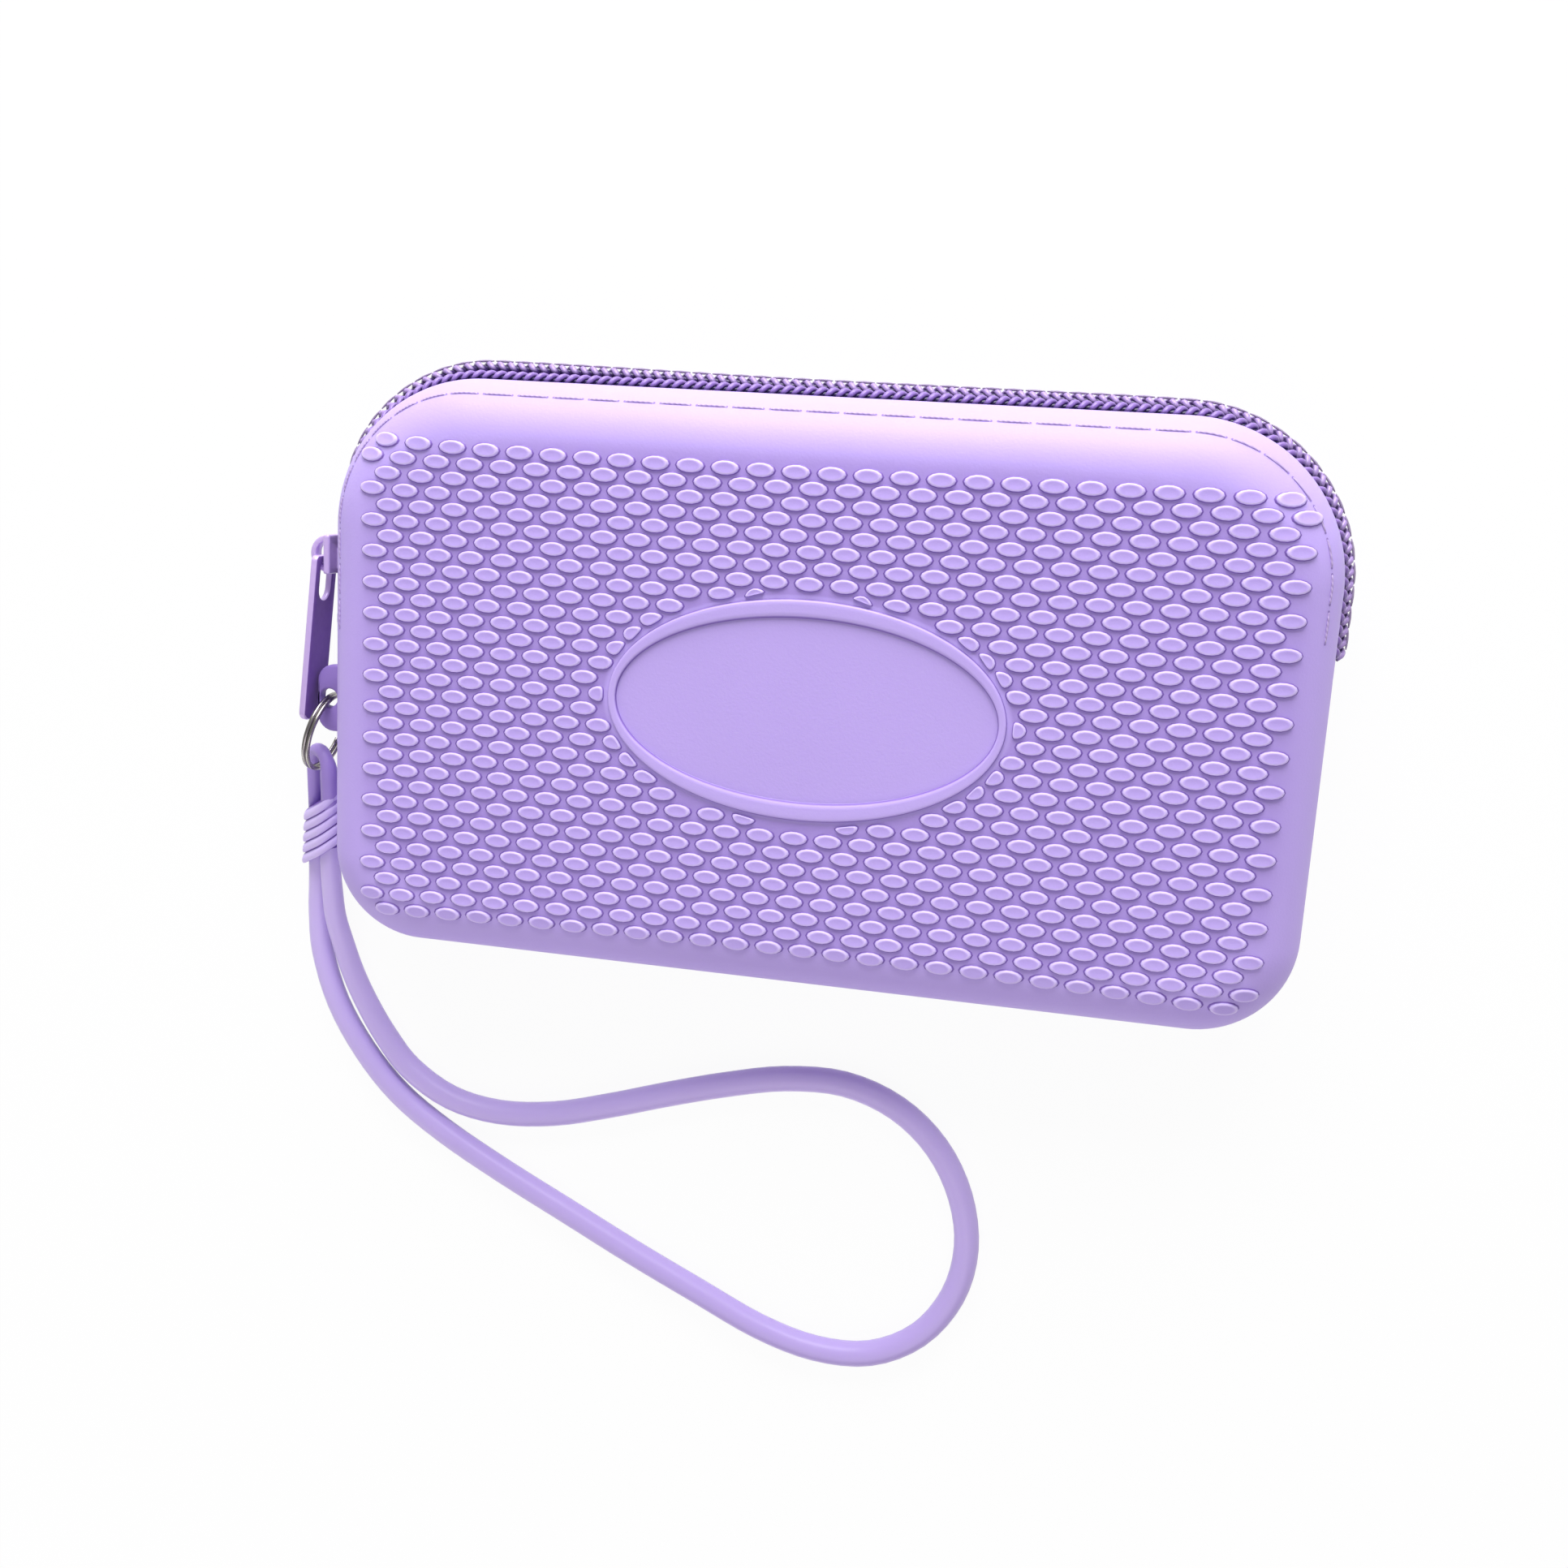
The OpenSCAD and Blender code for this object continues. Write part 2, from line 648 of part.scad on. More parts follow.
// Section of the collar round both strands
module collar_section(grow) {
  r = cord_d / 2 + grow;
  union() {
    for (side = [-1, 1]) translate([side * strand_pitch / 2, 0]) circle(r = r);
    translate([-strand_pitch / 2, -r]) square([strand_pitch, 2 * r]);
  }
}

// Sleeve with five slanted ribs that holds the two strands together
module strap_collar() {
  across = strand_pitch + cord_d + 2 * collar_wall;
  rib = (collar_l - across * tan(rib_slant)) / collar_ribs;
  slab = 2 * across;
  color([0.7, 0.6, 0.9]) at_ring() translate([0, -collar_start, 0]) rotate([90, 0, 0]) union() {
    linear_extrude(collar_l) collar_section(sleeve_wall);
    for (i = [0 : collar_ribs - 1]) intersection() {
      linear_extrude(collar_l) collar_section(collar_wall);
      translate([0, 0, collar_l / 2 + (i - (collar_ribs - 1) / 2) * rib]) rotate([0, rib_slant, 0])
        cube([slab, slab, (rib - rib_groove) * cos(rib_slant)], center = true);
    }
  }
}

// Point of a smooth curve through the route, between point i and the next, t from 0 to 1
function route_point(i, t) =
  let (n = len(strap_route) - 1)
  let (a = strap_route[max(i - 1, 0)], b = strap_route[i])
  let (c = strap_route[min(i + 1, n)], d = strap_route[min(i + 2, n)])
  0.5 * (2 * b + (c - a) * t + (2 * a - 5 * b + 4 * c - d) * t * t
    + (3 * b - a - 3 * c + d) * t * t * t);

module wrist_strap() {
  n = len(strap_route) - 1;
  curve = [
    for (i = [0 : n - 1]) for (k = [0 : cord_steps - 1]) route_point(i, k / cord_steps),
    strap_route[n]
  ];
  last = len(curve) - 1;
  rings = [
    for (i = [0 : last])
      let (ahead = i == 0 ? down_dir : i == last ? -down_dir : curve[i + 1] - curve[i - 1])
      let (along = ahead / norm(ahead))
      let (across = cross([0, 0, 1], along), side = across / norm(across))
      let (up = cross(along, side))
      for (k = [0 : cord_sides - 1])
        let (a = 360 * (k + 0.5) / cord_sides)
        curve[i] + cord_d / 2 * (cos(a) * side + sin(a) * up)
  ];
  skin = [
    for (i = [0 : last - 1]) for (k = [0 : cord_sides - 1])
      let (j = (k + 1) % cord_sides, p = i * cord_sides, q = p + cord_sides)
      each [[p + k, p + j, q + j], [p + k, q + j, q + k]]
  ];
  ends = [
    [for (k = [0 : cord_sides - 1]) cord_sides - 1 - k],
    [for (k = [0 : cord_sides - 1]) last * cord_sides + k]
  ];
  color([0.78, 0.7, 0.95]) polyhedron(points = rings, faces = concat(skin, ends));
}

back_shell();
front_shell();
grip_bumps();
oval_frame();
seam_gusset();
back_tape();
front_tape();
back_coil();
front_coil();
back_stitching();
front_stitching();
left_stop_back();
left_stop_front();
right_stop();
slider_body();
slider_bridge();
pull_tab();
side_tab();
split_ring();
strap_eye();
strap_collar();
wrist_strap();
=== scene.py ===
import math

import bmesh
import bpy
from mathutils import Matrix, Vector


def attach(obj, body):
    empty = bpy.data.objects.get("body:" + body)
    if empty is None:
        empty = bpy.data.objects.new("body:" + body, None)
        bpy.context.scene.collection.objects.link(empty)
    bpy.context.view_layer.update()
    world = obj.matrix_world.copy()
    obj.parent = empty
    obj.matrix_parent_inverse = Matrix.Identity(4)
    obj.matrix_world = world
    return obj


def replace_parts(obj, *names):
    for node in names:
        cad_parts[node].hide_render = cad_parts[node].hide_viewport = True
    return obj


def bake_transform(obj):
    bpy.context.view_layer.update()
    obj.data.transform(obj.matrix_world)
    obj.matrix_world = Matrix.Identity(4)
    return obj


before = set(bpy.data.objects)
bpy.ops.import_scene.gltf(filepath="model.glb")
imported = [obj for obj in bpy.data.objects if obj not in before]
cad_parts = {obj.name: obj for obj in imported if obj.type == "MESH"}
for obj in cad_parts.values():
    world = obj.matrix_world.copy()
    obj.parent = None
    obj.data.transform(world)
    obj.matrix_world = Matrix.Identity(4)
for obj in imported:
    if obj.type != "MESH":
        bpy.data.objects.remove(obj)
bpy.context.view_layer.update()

# Camera
# The photo's view: from the front, a little above and to the right of the wallet, close enough
# for the lower edge to look nearer than the zipper side.
camera = bpy.data.objects.new("PhotoCamera", bpy.data.cameras.new("PhotoCamera"))
camera.data.sensor_width = 36
camera.data.lens = 37.27
camera.data.clip_start = 0.01
camera.location = (0.04253, 0.03537, 0.25334)
camera.rotation_euler = [math.radians(a) for a in (-10.747, 11.385, 3.357)]
bpy.context.collection.objects.link(camera)
bpy.context.scene.camera = camera
bpy.context.scene.view_settings.view_transform = "Standard"


# Floor and light
# The wallet lies on a white table, which shows white in reflections too and keeps a faint shadow.
# A large low light like a window stands beyond the zipper side, and soft ones on the near side.
def node(tree, kind, inputs, **settings):
    """Adds a shader node; an input is a value or another node's output."""
    made = tree.nodes.new("ShaderNode" + kind)
    for key, value in settings.items():
        setattr(made, key, value)
    for key, value in inputs.items():
        if isinstance(value, bpy.types.NodeSocket):
            tree.links.new(value, made.inputs[key])
        else:
            made.inputs[key].default_value = value
    return made.outputs


def new_material(name):
    """A material with its tree and the output node."""
    made = bpy.data.materials.new(name)
    made.use_nodes = True
    made.node_tree.nodes.clear()
    return made, made.node_tree, made.node_tree.nodes.new("ShaderNodeOutputMaterial")


table_half, table_drop, glow_share = 3, 0.0001, 0.94
table_white, tree, end = new_material("TableWhite")
seen = node(tree, "LightPath", {})
shiny = node(tree, "Math", {0: seen["Is Glossy Ray"], 1: seen["Is Transmission Ray"]}, operation="MAXIMUM")
shown = node(tree, "Math", {0: seen["Is Camera Ray"], 1: shiny[0]}, operation="MAXIMUM")
share = node(tree, "Math", {0: shown[0], 1: glow_share}, operation="MULTIPLY")
plain = node(tree, "BsdfDiffuse", {"Color": (0.95, 0.95, 0.95, 1)})
glow = node(tree, "Emission", {"Color": (1, 1, 1, 1), "Strength": 1.0})
mixed = node(tree, "MixShader", {0: share[0], 1: plain[0], 2: glow[0]})
tree.links.new(mixed[0], end.inputs[0])

mesh = bpy.data.meshes.new("Table")
bm = bmesh.new()
bmesh.ops.create_grid(bm, x_segments=1, y_segments=1, size=table_half)
bmesh.ops.translate(bm, verts=bm.verts, vec=(0, 0, -table_drop))
bm.to_mesh(mesh)
bm.free()
mesh.materials.append(table_white)
table = bpy.data.objects.new("Table", mesh)
bpy.context.collection.objects.link(table)

world = bpy.data.worlds.new("Studio")
bpy.context.scene.world = world
world.use_nodes = True
world.node_tree.nodes["Background"].inputs["Color"].default_value = (1, 1, 1, 1)
world.node_tree.nodes["Background"].inputs["Strength"].default_value = 0.33

for name, at, size, power, colour in (
    ("WindowLight", (0.0, 0.66, 0.24), 0.6, 9.3, (1, 1, 1)),
    ("LowLight", (-0.32, -0.4, 0.11), 0.3, 0.5, (1, 0.97, 1)),
    ("FillLight", (0.12, -0.45, 0.55), 0.5, 1.25, (1, 0.94, 1)),
):
    lamp = bpy.data.lights.new(name, "AREA")
    lamp.shape = "SQUARE"
    lamp.size = size
    lamp.energy = power
    lamp.color = colour
    lamp_object = bpy.data.objects.new(name, lamp)
    lamp_object.location = at
    lamp_object.rotation_euler = (-Vector(at)).to_track_quat("-Z", "Y").to_euler()
    bpy.context.collection.objects.link(lamp_object)


# Back shell
# The back half of the moulded silicone case: a flat face that rounds over into the side wall,
# with a rounded lip all round. It opens wide for the zipper and nearly closes along the seam.
case_w, case_h, case_t = 150, 88.5, 24
top_r, bottom_r, edge_r, wall_t = 23, 15, 9, 2
top_x, top_y = case_w / 2 - top_r, case_h / 2 - top_r
low_x, low_y = case_w / 2 - bottom_r, case_h / 2 - bottom_r
round_z = case_t - edge_r

# Places along the outline, in mm clockwise from the middle of the left side.
left_top = top_y
top_left = left_top + top_r * math.pi / 2
top_right = top_left + 2 * top_x
right_top = top_right + top_r * math.pi / 2
right_low = right_top + top_y + low_y
low_right = right_low + bottom_r * math.pi / 2
low_left = low_right + 2 * low_x
left_low = low_left + bottom_r * math.pi / 2
full_way = left_low + low_y
mouth_start, mouth_end = 5, 209.8
tab_start, tab_end = 431.2, 443.6


def rim(s):
    """Point of the case's outline and the way out of it, s mm clockwise from the left side's middle."""
    for x, y, r, straight, angle in (
        (-top_x, top_y, top_r, top_y, 180),
        (top_x, top_y, top_r, 2 * top_x, 90),
        (low_x, -low_y, bottom_r, top_y + low_y, 0),
        (-low_x, -low_y, bottom_r, 2 * low_x, -90),
    ):
        turned = max(0, s - straight) / r
        if turned <= math.pi / 2:
            a = math.radians(angle) - turned
            out = Vector((math.cos(a), math.sin(a), 0))
            back = max(0, straight - s)
            return Vector((x, y, 0)) + r * out - back * Vector((out.y, -out.x, 0)), out
        s -= straight + r * math.pi / 2
    return Vector((-case_w / 2, s - low_y, 0)), Vector((-1, 0, 0))


def beside(s, out, z):
    """Point beside the outline: out of it by out mm and z mm above the table."""
    point, way = rim(s)
    return point + out * way + Vector((0, 0, z))


def smooth(t):
    """Eases from 0 to 1 as t does."""
    t = min(max(t, 0), 1)
    return t * t * (3 - 2 * t)


def spread(*stops):
    """Stations along a piece: pairs of a place and how many steps lead to the next one."""
    found = []
    for (a, steps), (b, _) in zip(stops, stops[1:]):
        found += [a + (b - a) * k / steps for k in range(steps)]
    return found + [stops[-1][0]]


def skin(bm, loops, through=False, capped=False, painted_light=None, slot=0):
    """Covers closed loops of points in mm, the same number in each, with a smooth skin in metres."""
    count, last = len(loops[0]), len(loops) - (0 if through else 1)
    # The vertex layer made here holds each vertex's painted light and shade, which the materials read.
    layer = bm.verts.layers.float.get("painted_light") or bm.verts.layers.float.new("painted_light")
    grid = bmesh.ops.create_grid(bm, x_segments=count, y_segments=last, size=0.5)["verts"]
    for v in grid:
        i = round((v.co.x + 0.5) * count) % count
        j = round((v.co.y + 0.5) * last) % len(loops)
        v[layer] = painted_light[j][i] if painted_light else 0
        v.co = 0.001 * loops[j][i]
    for f in {f for v in grid for f in v.link_faces}:
        f.smooth = True
        f.material_index = slot
    bmesh.ops.remove_doubles(bm, verts=grid, dist=1e-7)
    if capped:
        kept = [v for v in grid if v.is_valid]
        rims = {e for v in kept for e in v.link_edges if e.is_boundary}
        for f in bmesh.ops.holes_fill(bm, edges=list(rims), sides=0)["faces"]:
            f.material_index = slot


def piece(bm, name, body, slot, materials, *nodes):
    """Makes the built mesh a named piece that rides on a body and stands for CAD nodes."""
    bmesh.ops.recalc_face_normals(bm, faces=bm.faces)
    mesh = bpy.data.meshes.new(name)
    bm.to_mesh(mesh)
    bm.free()
    for material in materials:
        mesh.materials.append(material)
    made = bpy.data.objects.new(name, mesh)
    bpy.context.collection.objects.link(made)
    if body:
        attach(made, body)
    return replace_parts(made, *nodes)


def silicone(name, colour, roughness, grain):
    """Soft moulded silicone with a fine grain; returns the shader's sockets too."""
    made, tree, end = new_material(name)
    at = node(tree, "TexCoord", {})["Object"]
    fine = node(tree, "TexNoise", {"Vector": at, "Scale": 2600, "Detail": 2})
    wide = node(tree, "TexNoise", {"Vector": at, "Scale": 45, "Detail": 3})
    tint = node(
        tree,
        "Mix",
        {0: wide[0], 6: (*[0.96 * c for c in colour], 1), 7: (*[min(1, 1.03 * c) for c in colour], 1)},
        data_type="RGBA",
    )[2]
    relief = node(tree, "Bump", {"Height": fine[0], "Strength": grain, "Distance": 0.0001})
    shader = tree.nodes.new("ShaderNodeBsdfPrincipled")
    tree.links.new(tint, shader.inputs["Base Color"])
    tree.links.new(relief[0], shader.inputs["Normal"])
    shader.inputs["Roughness"].default_value = roughness
    shader.inputs["Specular IOR Level"].default_value = 0.35
    shader.inputs["Subsurface Weight"].default_value = 0.12
    shader.inputs["Subsurface Radius"].default_value = (1.0, 0.7, 1.2)
    shader.inputs["Subsurface Scale"].default_value = 0.001
    tree.links.new(shader.outputs[0], end.inputs[0])
    return made, tree, at, tint, shader


def shell(tab_gap):
    """One half of the case, with its lip tab_gap from the middle height where the tab passes."""
    seam_gap, lip_out, lip_in, flat = 0.15, 0.45, 0.35, 0.6
    inner_r, turn_z = edge_r - wall_t, round_z - lip_out
    stations = spread(
        (0, 2), (mouth_start - 1, 10), (mouth_start + 1, 5), (left_top, 30), (top_left, 26),
        (top_right, 30), (right_top, 5), (mouth_end - 1, 10), (mouth_end + 1, 9), (right_low, 20),
        (low_right, 26), (low_left, 20), (left_low, 6), (tab_start - 0.4, 8), (tab_start + 1.4, 4),
        (tab_end - 1.4, 8), (tab_end + 0.4, 1), (full_way, 0),
    )[:-1]
    columns = []
    for s in stations:
        mouth = smooth(s - mouth_start + 0.5) * smooth(mouth_end + 0.5 - s)
        tab = smooth(s - tab_start) * smooth(tab_end - s)
        low = case_t / 2 + seam_gap
        low += (round_z - low) * mouth + (tab_gap - seam_gap) * tab
        bend = math.pi / 2 - math.asin(max(low - turn_z, 0) / edge_r)
        drop = max(turn_z - low, 0)
        section = [(-edge_r - flat, case_t)]
        for k in range(15):
            way = k / 14 * (edge_r * bend + drop)
            a = math.pi / 2 - min(way / edge_r, bend)
            fall = max(0, way - edge_r * bend)
            section.append((edge_r * math.cos(a) - edge_r, round_z + edge_r * math.sin(a) - fall))
        edge = section[-1][0]
        for a in (30, 60, 90):
            turn = math.radians(a)
            section.append((edge - lip_out * (1 - math.cos(turn)), low + lip_out * (1 - math.sin(turn))))
        for a in (90, 60, 30, 0):
            turn = math.radians(a)
            section.append((lip_in * (1 - math.cos(turn)) - wall_t, low + lip_in * (1 - math.sin(turn))))
        for a in (6, 20, 35, 50, 65, 80, 90):
            turn = math.radians(a)
            section.append((inner_r * math.cos(turn) - edge_r, round_z + inner_r * math.sin(turn)))
        section.append((-edge_r - flat, case_t - wall_t))
        columns.append([beside(s, out, z) for out, z in section])
    return [list(row) for row in zip(*columns)]


def to_back(loops):
    """Turns loops of the front half into those of the back half."""
    return [[Vector((p.x, p.y, case_t - p.z)) for p in loop] for loop in loops]


lavender = (0.53, 0.40, 0.86)
back_silicone = silicone("BackSilicone", lavender, 0.5, 0.25)[0]
bm = bmesh.new()
skin(bm, to_back(shell(1.0)), capped=True)
piece(bm, "BackShell", "case", "silicone", [back_silicone], "back_shell")

# Seam gusset
# A thin web of the same silicone inside the closed seam. It joins the two halves below the
# zipper; in the wallet it stretches between them when opened, but here it is one fixed piece.
web_start, web_end, web_in, web_t = 208, 448, 2.3, 0.6
bm = bmesh.new()
edge = [(-web_in, z) for z in (10.2, 11.2, 12, 12.8, 13.8)]
edge = [(-web_in - 0.05, 9), *edge, (-web_in - 0.05, 15)]
section = edge + [(out - web_t, z) for out, z in edge[::-1]]
loops = []
for s in spread(
    (web_start, 20), (right_low, 20), (low_right, 40), (low_left, 20), (left_low, 16), (web_end, 0)
):
    loops.append([beside(s % full_way, out, z) for out, z in section])
skin(bm, loops, capped=True)
# Its colour is darker than the shells', painted shade for the inside of the seam.
gusset_silicone = silicone("GussetSilicone", (0.36, 0.25, 0.62), 0.55, 0.3)[0]
gusset = piece(bm, "SeamGusset", None, "silicone_dark", [gusset_silicone], "seam_gusset")
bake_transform(gusset)


# Back tape and coil
# The woven half of the zipper that is sewn inside the back shell. Its edge carries the wound
# nylon coil, which stands farther out of the wall than the front one.
tape_start, zip_start, zip_end = 5.1, 7.5, 207.2
row_z, row_r, back_out, front_out = 13.6, 1.2, 2.5, 1.4


def sway(s, loose):
    """How far the coil leaves its line: the rear one out at the left corner, both in at the right."""
    left = 0.45 * loose * smooth((s - 22) / 14) * smooth((110 - s) / 50)
    right = 0.55 * smooth((s - 150) / 35)
    return left - right


def tape(out, loose):
    """Loops of the tape's section along the mouth, from the coil in to where it is sewn."""
    sewn_r, cloth_t = 6.95, 0.5
    sewn = [(-1.2, 14.4), (-2.1, 14.85)]
    for r, angles in ((sewn_r, (0.12, 0.24, 0.36, 0.47)), (sewn_r - cloth_t, (0.5, 0.38, 0.25, 0.12))):
        sewn += [(r * math.cos(a) - edge_r, round_z + r * math.sin(a)) for a in angles]
    sewn += [(-2.55, 14.4), (-1.6, 13.9)]
    loops = []
    for s in spread((tape_start, 190), (zip_end, 0)):
        edge = max(out - 2.3 + sway(s, loose), -1)
        section = [(edge, 12.5), (edge, 13.5), *sewn, (edge - cloth_t, 13.1), (edge - cloth_t, 12.5)]
        loops.append([beside(s, o, z) for o, z in section])
    return loops


def coil(bm, out, hand, loose):
    """Two strands wound round each other along the mouth, and the cord inside them."""
    strand_off, strand_r, lay, steep, core_r = 0.76, 0.46, 3.3, 1.42, 0.62
    up = Vector((0, 0, 1))
    for first in (0, math.pi):
        loops, painted_lights = [], []
        for s in spread((zip_start, 840), (zip_end, 0)):
            turn = first + hand * 2 * math.pi * s / lay
            way = rim(s)[1]
            off = math.cos(turn) * way + math.sin(turn) * up
            swing = hand * steep * (math.cos(turn) * up - math.sin(turn) * way)
            side = (Vector((way.y, -way.x, 0)) + swing).normalized().cross(off)
            ring = [
                strand_off * off + strand_r * (math.cos(a) * off + math.sin(a) * side)
                for a in [math.pi * k / 4 for k in range(8)]
            ]
            middle = beside(s, out - row_r + sway(s, loose), row_z)
            loops.append([middle + p for p in ring])
            # Painted light: the strands are darkened as painted shade towards the wall and between the turns.
            facing = [0.25 + 0.75 * smooth((p.dot(way) + 0.55) / 1.1) for p in ring]
            painted_lights.append([p.length / (strand_off + strand_r) * lit for p, lit in zip(ring, facing)])
        skin(bm, loops, capped=True, painted_light=painted_lights)
    # The cord inside carries no painted light, so it takes the nylon's darkest, painted-shade colour.
    core = []
    sides = [math.pi * k / 3 for k in range(6)]
    for s in spread((zip_start, 200), (zip_end, 0)):
        middle = out - row_r + sway(s, loose)
        core.append([beside(s, middle + core_r * math.cos(a), row_z + core_r * math.sin(a)) for a in sides])
    skin(bm, core, capped=True)


def flip(bm):
    """Mirrors a built mesh of the front half to the back half."""
    bmesh.ops.scale(bm, verts=bm.verts, vec=(1, 1, -1))
    bmesh.ops.translate(bm, verts=bm.verts, vec=(0, 0, 0.001 * case_t))


woven, tree, end = new_material("WovenTape")
at = node(tree, "TexCoord", {})["Object"]
twill = node(tree, "TexWave", {"Vector": at, "Scale": 420, "Distortion": 0.6}, bands_direction="Z")
threads = node(tree, "TexWave", {"Vector": at, "Scale": 420, "Distortion": 0.6}, bands_direction="DIAGONAL")
weave = node(tree, "Math", {0: twill["Fac"], 1: threads["Fac"]}, operation="MULTIPLY")
tint = node(
    tree,
    "Mix",
    {0: weave[0], 6: (0.06, 0.03, 0.16, 1), 7: (0.20, 0.12, 0.40, 1)},
    data_type="RGBA",
)
relief = node(tree, "Bump", {"Height": weave[0], "Strength": 0.6, "Distance": 0.0001})
cloth = node(
    tree,
    "BsdfPrincipled",
    {"Base Color": tint[2], "Normal": relief[0], "Roughness": 0.85, "Sheen Weight": 0.2},
)
tree.links.new(cloth[0], end.inputs[0])


def coil_nylon(name, painted_groove_shade, painted_crest_light):
    """Glossy nylon, with painted shade between the turns and a painted lighter colour on their outside."""
    made, tree, end = new_material(name)
    painted_light = node(tree, "Attribute", {}, attribute_name="painted_light")["Fac"]
    height = node(tree, "MapRange", {0: painted_light, 1: 0.35, 2: 0.95}, interpolation_type="SMOOTHSTEP")
    tint = node(tree, "Mix", {0: height[0], 6: (*painted_groove_shade, 1), 7: (*painted_crest_light, 1)}, data_type="RGBA")
    at = node(tree, "TexCoord", {})["Object"]
    fine = node(tree, "TexNoise", {"Vector": at, "Scale": 3000})
    relief = node(tree, "Bump", {"Height": fine[0], "Strength": 0.15, "Distance": 0.0001})
    nylon = node(tree, "BsdfPrincipled", {"Base Color": tint[2], "Normal": relief[0], "Roughness": 0.3})
    tree.links.new(nylon[0], end.inputs[0])
    return made


chain_count, chain_start, chain_pitch, chain_half, chain_z = 64, 9.1, 3.1, 1.4, 13.2
bm = bmesh.new()
skin(bm, to_back(tape(back_out - 0.1, 1)), capped=True)
sides = [math.pi * k / 3 for k in range(6)]
for k in range(chain_count):
    chain = []
    for t in (-1, -0.6, 0, 0.6, 1):
        s, thick = chain_start + chain_pitch * k + chain_half * t, 0.2 - 0.12 * t * t
        outer = back_out - 0.08 + sway(s, 1)
        chain.append([beside(s, outer + thick * math.cos(a), chain_z + thick * math.sin(a)) for a in sides])
    skin(bm, to_back(chain), capped=True, slot=1)
chain_thread = silicone("ChainThread", (0.32, 0.26, 0.4), 0.75, 0.3)[0]
piece(bm, "BackTape", "case", "tape", [woven, chain_thread], "back_tape")

back_nylon = coil_nylon("BackCoilNylon", (0.04, 0.015, 0.12), (0.42, 0.29, 0.62))
bm = bmesh.new()
coil(bm, back_out, -1, 1)
flip(bm)
piece(bm, "BackCoil", "case", "coil", [back_nylon], "back_coil")


# Back stitching
# One line of lilac thread that holds the tape in the back shell. Each stitch lies on the
# rounded edge and dives into a needle hole at both ends.
def stitches(bm):
    """The front half's line of stitches, with a needle hole at both ends of each, a flat disc of painted
    shade.
    """
    count, start, pitch, half, lean = 37, 7.7, 5.4, 2.2, 0.748
    thread_r, thread_rise, thread_dive, hole_r, hole_rise = 0.17, 0.06, 0.24, 0.22, 0.02
    sides = [math.pi * k / 3 for k in range(6)]
    for i in range(count):
        loops = []
        for t in (-1, -0.95, -0.85, -0.5, 0, 0.5, 0.85, 0.95, 1):
            s = start + pitch * i + half * t
            way = rim(s)[1]
            face = math.cos(lean) * way + Vector((0, 0, math.sin(lean)))
            foot = beside(s, edge_r * math.cos(lean) - edge_r, round_z + edge_r * math.sin(lean))
            across = Vector((way.y, -way.x, 0)).cross(face)
            middle = foot + (thread_rise - thread_dive * abs(t) ** 10) * face
            loops.append([middle + thread_r * (math.cos(a) * face + math.sin(a) * across) for a in sides])
            if abs(t) == 1:
                turned = Matrix.Translation(0.001 * (foot + hole_rise * face))
                turned = turned @ face.to_track_quat("Z", "Y").to_matrix().to_4x4()
                hole = bmesh.ops.create_circle(
                    bm, cap_ends=True, segments=8, radius=0.001 * hole_r, matrix=turned
                )["verts"]
                # The disc takes the second material, a dark colour that is painted shade for the hole.
                hole[0].link_faces[0].material_index = 1
        skin(bm, loops)


thread, tree, end = new_material("LilacThread")
at = node(tree, "TexCoord", {})["Object"]
ply = node(tree, "TexWave", {"Vector": at, "Scale": 800}, bands_direction="DIAGONAL")
tint = node(tree, "Mix", {0: ply["Fac"], 6: (0.42, 0.31, 0.6, 1), 7: (0.55, 0.43, 0.72, 1)}, data_type="RGBA")
relief = node(tree, "Bump", {"Height": ply["Fac"], "Strength": 0.5, "Distance": 0.0001})
spun = node(tree, "BsdfPrincipled", {"Base Color": tint[2], "Normal": relief[0], "Roughness": 0.7})
tree.links.new(spun[0], end.inputs[0])
# Each needle hole is a flat disc whose dark colour is painted shade.
needle_hole_shade = silicone("NeedleHoleShade", (0.3, 0.2, 0.56), 0.7, 0.1)[0]

bm = bmesh.new()
stitches(bm)
flip(bm)
piece(bm, "BackStitching", "case", "thread", [thread, needle_hole_shade], "back_stitching")

# Front shell
# The front half, mirrored from the back one. Between the bumps its colour is a little darker,
# painted shade that the smooth edge and the oval don't get.
pattern_x, pattern_y, shade_share = 1.2, -0.7, 0.4
front_silicone, tree, at, tint, shader = silicone("FrontSilicone", lavender, 0.5, 0.25)
shades = []
for wide, high, first, last, power in ((69.5, 36.9, 1.15, 0.55, 6), (29.7, 16.5, 1.0, 1.06, 2)):
    place = node(
        tree,
        "VectorMath",
        {0: at, 1: (1000 / wide, 1000 / high, 0), 2: (-pattern_x / wide, -pattern_y / high, 0)},
        operation="MULTIPLY_ADD",
    )
    away = node(tree, "SeparateXYZ", {0: node(tree, "VectorMath", {0: place[0]}, operation="ABSOLUTE")[0]})
    right = node(tree, "Math", {0: away[0], 1: power}, operation="POWER")
    up = node(tree, "Math", {0: away[1], 1: power}, operation="POWER")
    past = node(tree, "Math", {0: right[0], 1: up[0]}, operation="ADD")
    shades.append(node(tree, "MapRange", {0: past[0], 1: first, 2: last}, interpolation_type="SMOOTHSTEP")[0])
shade = node(tree, "Math", {0: shades[0], 1: shades[1]}, operation="MULTIPLY")
shade = node(tree, "Math", {0: shade[0], 1: shade_share}, operation="MULTIPLY")
# Painted shade: inside the bump pattern and outside the oval the colour is mixed towards this dark purple.
shaded = node(tree, "Mix", {0: shade[0], 6: tint, 7: (0.24, 0.14, 0.5, 1)}, data_type="RGBA")
tree.links.new(shaded[2], shader.inputs["Base Color"])

bm = bmesh.new()
skin(bm, shell(1.3), capped=True)
piece(bm, "FrontShell", "front", "silicone", [front_silicone], "front_shell")
